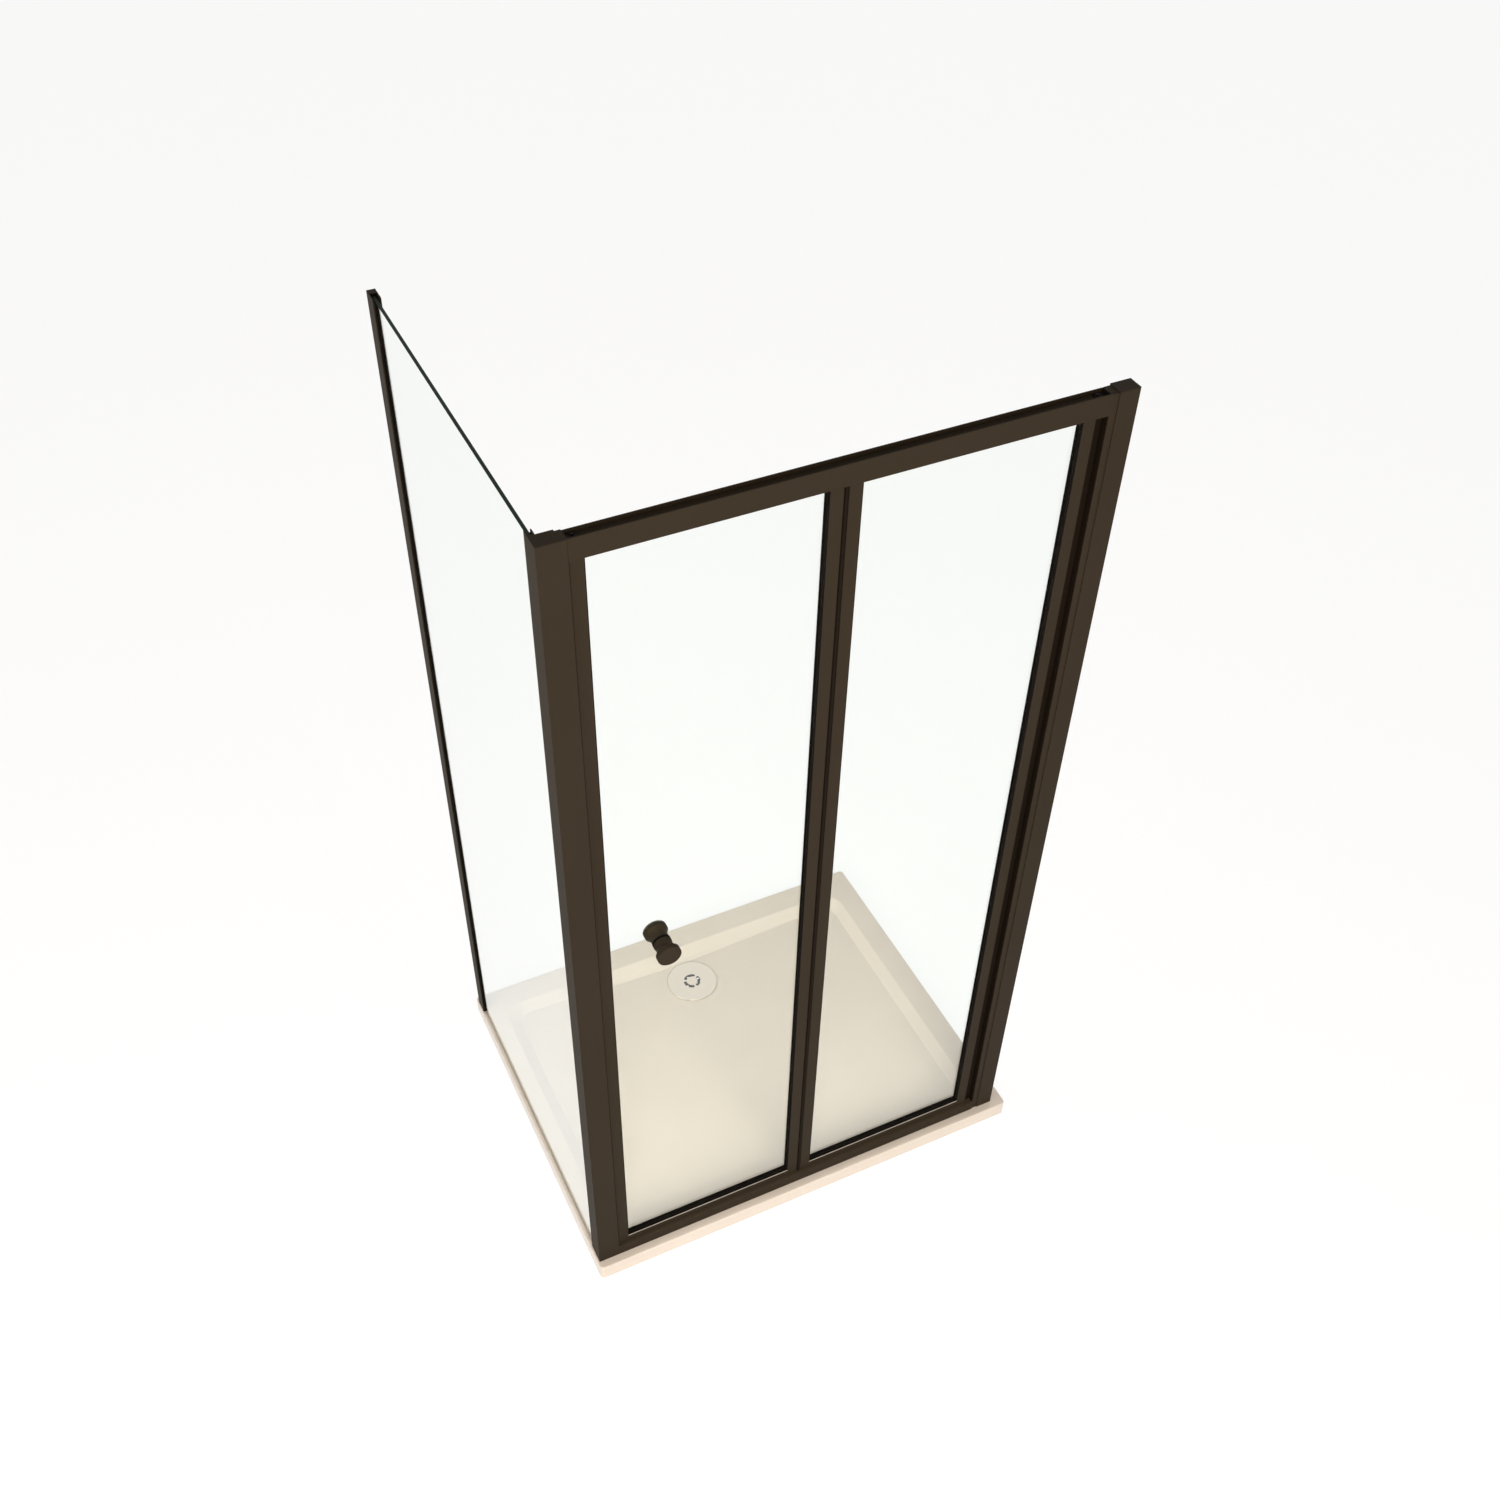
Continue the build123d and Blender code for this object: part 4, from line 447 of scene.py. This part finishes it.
for leaf in ("pivot_leaf", "leading_leaf"):
    low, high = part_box(leaf + "_gasket")
    pane_low, pane_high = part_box(leaf + "_glass")
    rail_low, rail_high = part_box(leaf + "_bottom_rail")
    reveal = rail_high.z - low.z
    front = glazing_lip(low, high, reveal, pane_low.y, rail_low.y + lip_setback)
    back = glazing_lip(low, high, reveal, pane_high.y, rail_high.y - lip_setback)
    bed = start_ring(low, high, pane_low.y, pane_low.x - low.x)
    pane_thickness = pane_high.y - pane_low.y
    bpy.ops.mesh.extrude_region_move(TRANSFORM_OT_translate={"value": (0, pane_thickness, 0)})
    close_ring(bed)
    bpy.ops.object.select_all(action="DESELECT")
    for part in (front, back, bed):
        part.select_set(True)
    bpy.context.view_layer.objects.active = bed
    bpy.ops.object.join()
    bed.name = leaf + "_glazing_gasket"
    bed.data.materials.clear()
    bed.data.materials.append(rubber)
    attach(bed, leaf)
    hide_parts(leaf + "_gasket")

# Screws and brackets: steel in black zinc-flake coat. The screws' heads are cold-formed, each
# with a hexagon socket sunk into it. The brackets are bent from strip.
screw_coat = powder("black_zinc_flake_coat", "120e0a", "19140f", 0.5, 0.08)
dress(screw_coat, "frame_brackets")
frame_head_radius = 0.0032
frame_screw_length = 0.0084
jamb_head_radius = 0.0035
leaf_head_radius = 0.003
socket_radius = 0.0014
socket_depth = 0.0012


def socket_screws(node, body, heads):
    """Sinks a hexagon socket into each head; heads pairs a head's middle with the way it faces."""
    screws = merged_copy(node, node.replace("screws", "socket_screws"))
    for middle, facing in heads:
        bpy.ops.object.select_all(action="DESELECT")
        turn = Vector(facing).to_track_quat("Z", "Y").to_euler()
        bpy.ops.mesh.primitive_cylinder_add(vertices=6, radius=socket_radius,
                                            depth=2 * socket_depth, location=middle, rotation=turn)
        cutter = bpy.context.object
        bpy.context.view_layer.objects.active = screws
        socket = screws.modifiers.new("socket", "BOOLEAN")
        socket.operation = "DIFFERENCE"
        socket.solver = "EXACT"
        socket.object = cutter
        bpy.ops.object.modifier_apply(modifier="socket")
        bpy.data.objects.remove(cutter)
    screws.data.materials.clear()
    screws.data.materials.append(screw_coat)
    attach(screws, body)
    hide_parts(node)


for leaf in ("pivot_leaf", "leading_leaf"):
    low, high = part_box(leaf + "_screws")
    depth = (low.y + high.y) / 2
    heights = (low.z + leaf_head_radius, high.z - leaf_head_radius)
    socket_screws(leaf + "_screws", leaf,
                  [((x, depth, z), (out, 0, 0))
                   for x, out in ((low.x, -1), (high.x, 1)) for z in heights])

low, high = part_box("joint_screws")
depth = (low.y + high.y) / 2
heights = (low.z + frame_head_radius, high.z - frame_head_radius)
ends = ((low.x + frame_screw_length, 1), (high.x - frame_screw_length, -1))
socket_screws("joint_screws", "enclosure",
              [((x, depth, z), (out, 0, 0)) for x, out in ends for z in heights])

low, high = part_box("bracket_screws")
depth = (low.y + high.y) / 2
sides = (low.x + frame_head_radius, high.x - frame_head_radius)
ends = ((low.z + frame_screw_length, 1), (high.z - frame_screw_length, -1))
socket_screws("bracket_screws", "enclosure",
              [((x, depth, z), (0, 0, out)) for z, out in ends for x in sides])

low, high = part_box("jamb_screws")
middle = (low.x + high.x) / 2
heights = (low.z + jamb_head_radius, (low.z + high.z) / 2, high.z - jamb_head_radius)
socket_screws("jamb_screws", "enclosure", [((middle, high.y, z), (0, 1, 0)) for z in heights])

# Silicone bead: translucent sealant, run along the foot of the side pane and drawn off with a
# finger, so that its face is hollow and slightly uneven.
lump_size = 0.008
bead_pitch = 0.012
bead_rows = (0.2, 0.45, 0.72)
bead_fullness = 0.35
bead_unevenness = 0.5
bead_radians_per_pitch = 1.7
bead_tolerance = 0.0001
bead_smooth_angle = 40
sealant, tree = new_material("tooled_clear_silicone")
_, lumps, milky = mottled(tree, lump_size, 2.0, "aaa59a", "b9b4aa")
uneven = add_node(tree, "ShaderNodeBump", {"Height": lumps.outputs["Fac"], "Strength": 0.4,
                                           "Distance": 0.0003})
gel = add_node(tree, "ShaderNodeBsdfPrincipled", {"Base Color": milky, "Roughness": 0.35,
                                                  "Transmission Weight": 0.3, "IOR": 1.41,
                                                  "Normal": uneven.outputs["Normal"]})
add_node(tree, "ShaderNodeOutputMaterial", {"Surface": gel.outputs[0]})
bead = merged_copy("side_glass_bead", "tooled_silicone_bead")
bead_low, bead_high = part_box("side_glass_bead")
bead_leg = bead_high.z - bead_low.z
bead_length = bead_high.y - bead_low.y
bead_cuts = round(bead_length / bead_pitch)
bpy.ops.object.mode_set(mode="EDIT")
for cut in range(1, bead_cuts):
    bpy.ops.mesh.select_all(action="SELECT")
    bpy.ops.mesh.bisect(plane_co=(0, bead_low.y + cut * bead_length / bead_cuts, 0),
                        plane_no=(0, 1, 0))
for row in bead_rows:
    bpy.ops.mesh.select_all(action="SELECT")
    bpy.ops.mesh.bisect(plane_co=(0, 0, bead_low.z + row * bead_leg), plane_no=(0, 0, 1))
bpy.ops.mesh.select_all(action="DESELECT")
bpy.ops.object.mode_set(mode="OBJECT")
for point in bead.data.vertices:
    up = point.co.z - bead_low.z
    slope = bead_high.x - up
    on_slope = abs(point.co.x - slope) < bead_tolerance
    if on_slope and bead_tolerance < up < bead_leg - bead_tolerance:
        hollow = bead_high.x - math.sqrt(bead_leg ** 2 - (bead_leg - up) ** 2)
        sway = math.sin(point.co.y / bead_pitch * bead_radians_per_pitch)
        point.co.x = hollow + bead_fullness * (slope - hollow) * (1 + bead_unevenness * sway)
bead.data.materials.append(sealant)
bpy.ops.object.shade_smooth_by_angle(angle=math.radians(bead_smooth_angle))
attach(bead, "enclosure")
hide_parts("side_glass_bead")

# Panes of the leaves: clear toughened float glass, held by the gaskets. It has the faint waviness
# of the toughening furnace, and iron in it tints what passes through a little green.
furnace_wave_size = 0.18
furnace_wave_height = 0.0002
glass, tree = new_material("clear_toughened_float_glass")
place = add_node(tree, "ShaderNodeTexCoord")
roll = add_node(tree, "ShaderNodeTexNoise", {"Vector": place.outputs["Object"],
                                             "Scale": 1 / furnace_wave_size, "Detail": 1.0})
waviness = add_node(tree, "ShaderNodeBump", {"Height": roll.outputs["Fac"], "Strength": 0.15,
                                             "Distance": furnace_wave_height})
pane = add_node(tree, "ShaderNodeBsdfPrincipled", {"Base Color": linear("fdfffd"),
                                                   "Roughness": 0.0, "IOR": 1.52,
                                                   "Transmission Weight": 1.0,
                                                   "Normal": waviness.outputs["Normal"]})
path = add_node(tree, "ShaderNodeLightPath")
clear = add_node(tree, "ShaderNodeBsdfTransparent", {"Color": linear("f7faf6")})
shadowless = add_node(tree, "ShaderNodeMixShader", {0: path.outputs["Is Shadow Ray"],
                                                    1: pane.outputs[0], 2: clear.outputs[0]})
iron = add_node(tree, "ShaderNodeVolumeAbsorption", {"Color": linear("5fae86"), "Density": 3.0})
add_node(tree, "ShaderNodeOutputMaterial", {"Surface": shadowless.outputs[0],
                                            "Volume": iron.outputs[0]})
dress(glass, "pivot_leaf_glass", "leading_leaf_glass")

# Fixed side pane: the same glass, wedged in the post and the wall profile. Its ground top edge is
# open to view, and light leaves it only along the pane, so the edge faces are painted dark green.
grit_size = 0.001
pane_face_above = 0.9
edged_glass = glass.copy()
edged_glass.name = "float_glass_with_ground_edges"
tree = edged_glass.node_tree
place, _, green = mottled(tree, grit_size, 1.0, "0d1a10", "16281a")
facing = add_node(tree, "ShaderNodeSeparateXYZ", {0: place.outputs["Normal"]})
across = add_node(tree, "ShaderNodeMath", {0: facing.outputs["X"]}, operation="ABSOLUTE")
on_edge = add_node(tree, "ShaderNodeMath", {0: across.outputs[0], 1: pane_face_above},
                   operation="LESS_THAN")
ground = add_node(tree, "ShaderNodeBsdfPrincipled", {"Base Color": green, "Roughness": 0.5,
                                                     "Specular IOR Level": 0.1})
surface = next(node for node in tree.nodes if node.type == "OUTPUT_MATERIAL").inputs["Surface"]
edged = add_node(tree, "ShaderNodeMixShader", {0: on_edge.outputs[0],
                                               1: surface.links[0].from_socket,
                                               2: ground.outputs[0]})
tree.links.new(edged.outputs[0], surface)
dress(edged_glass, "side_glass")
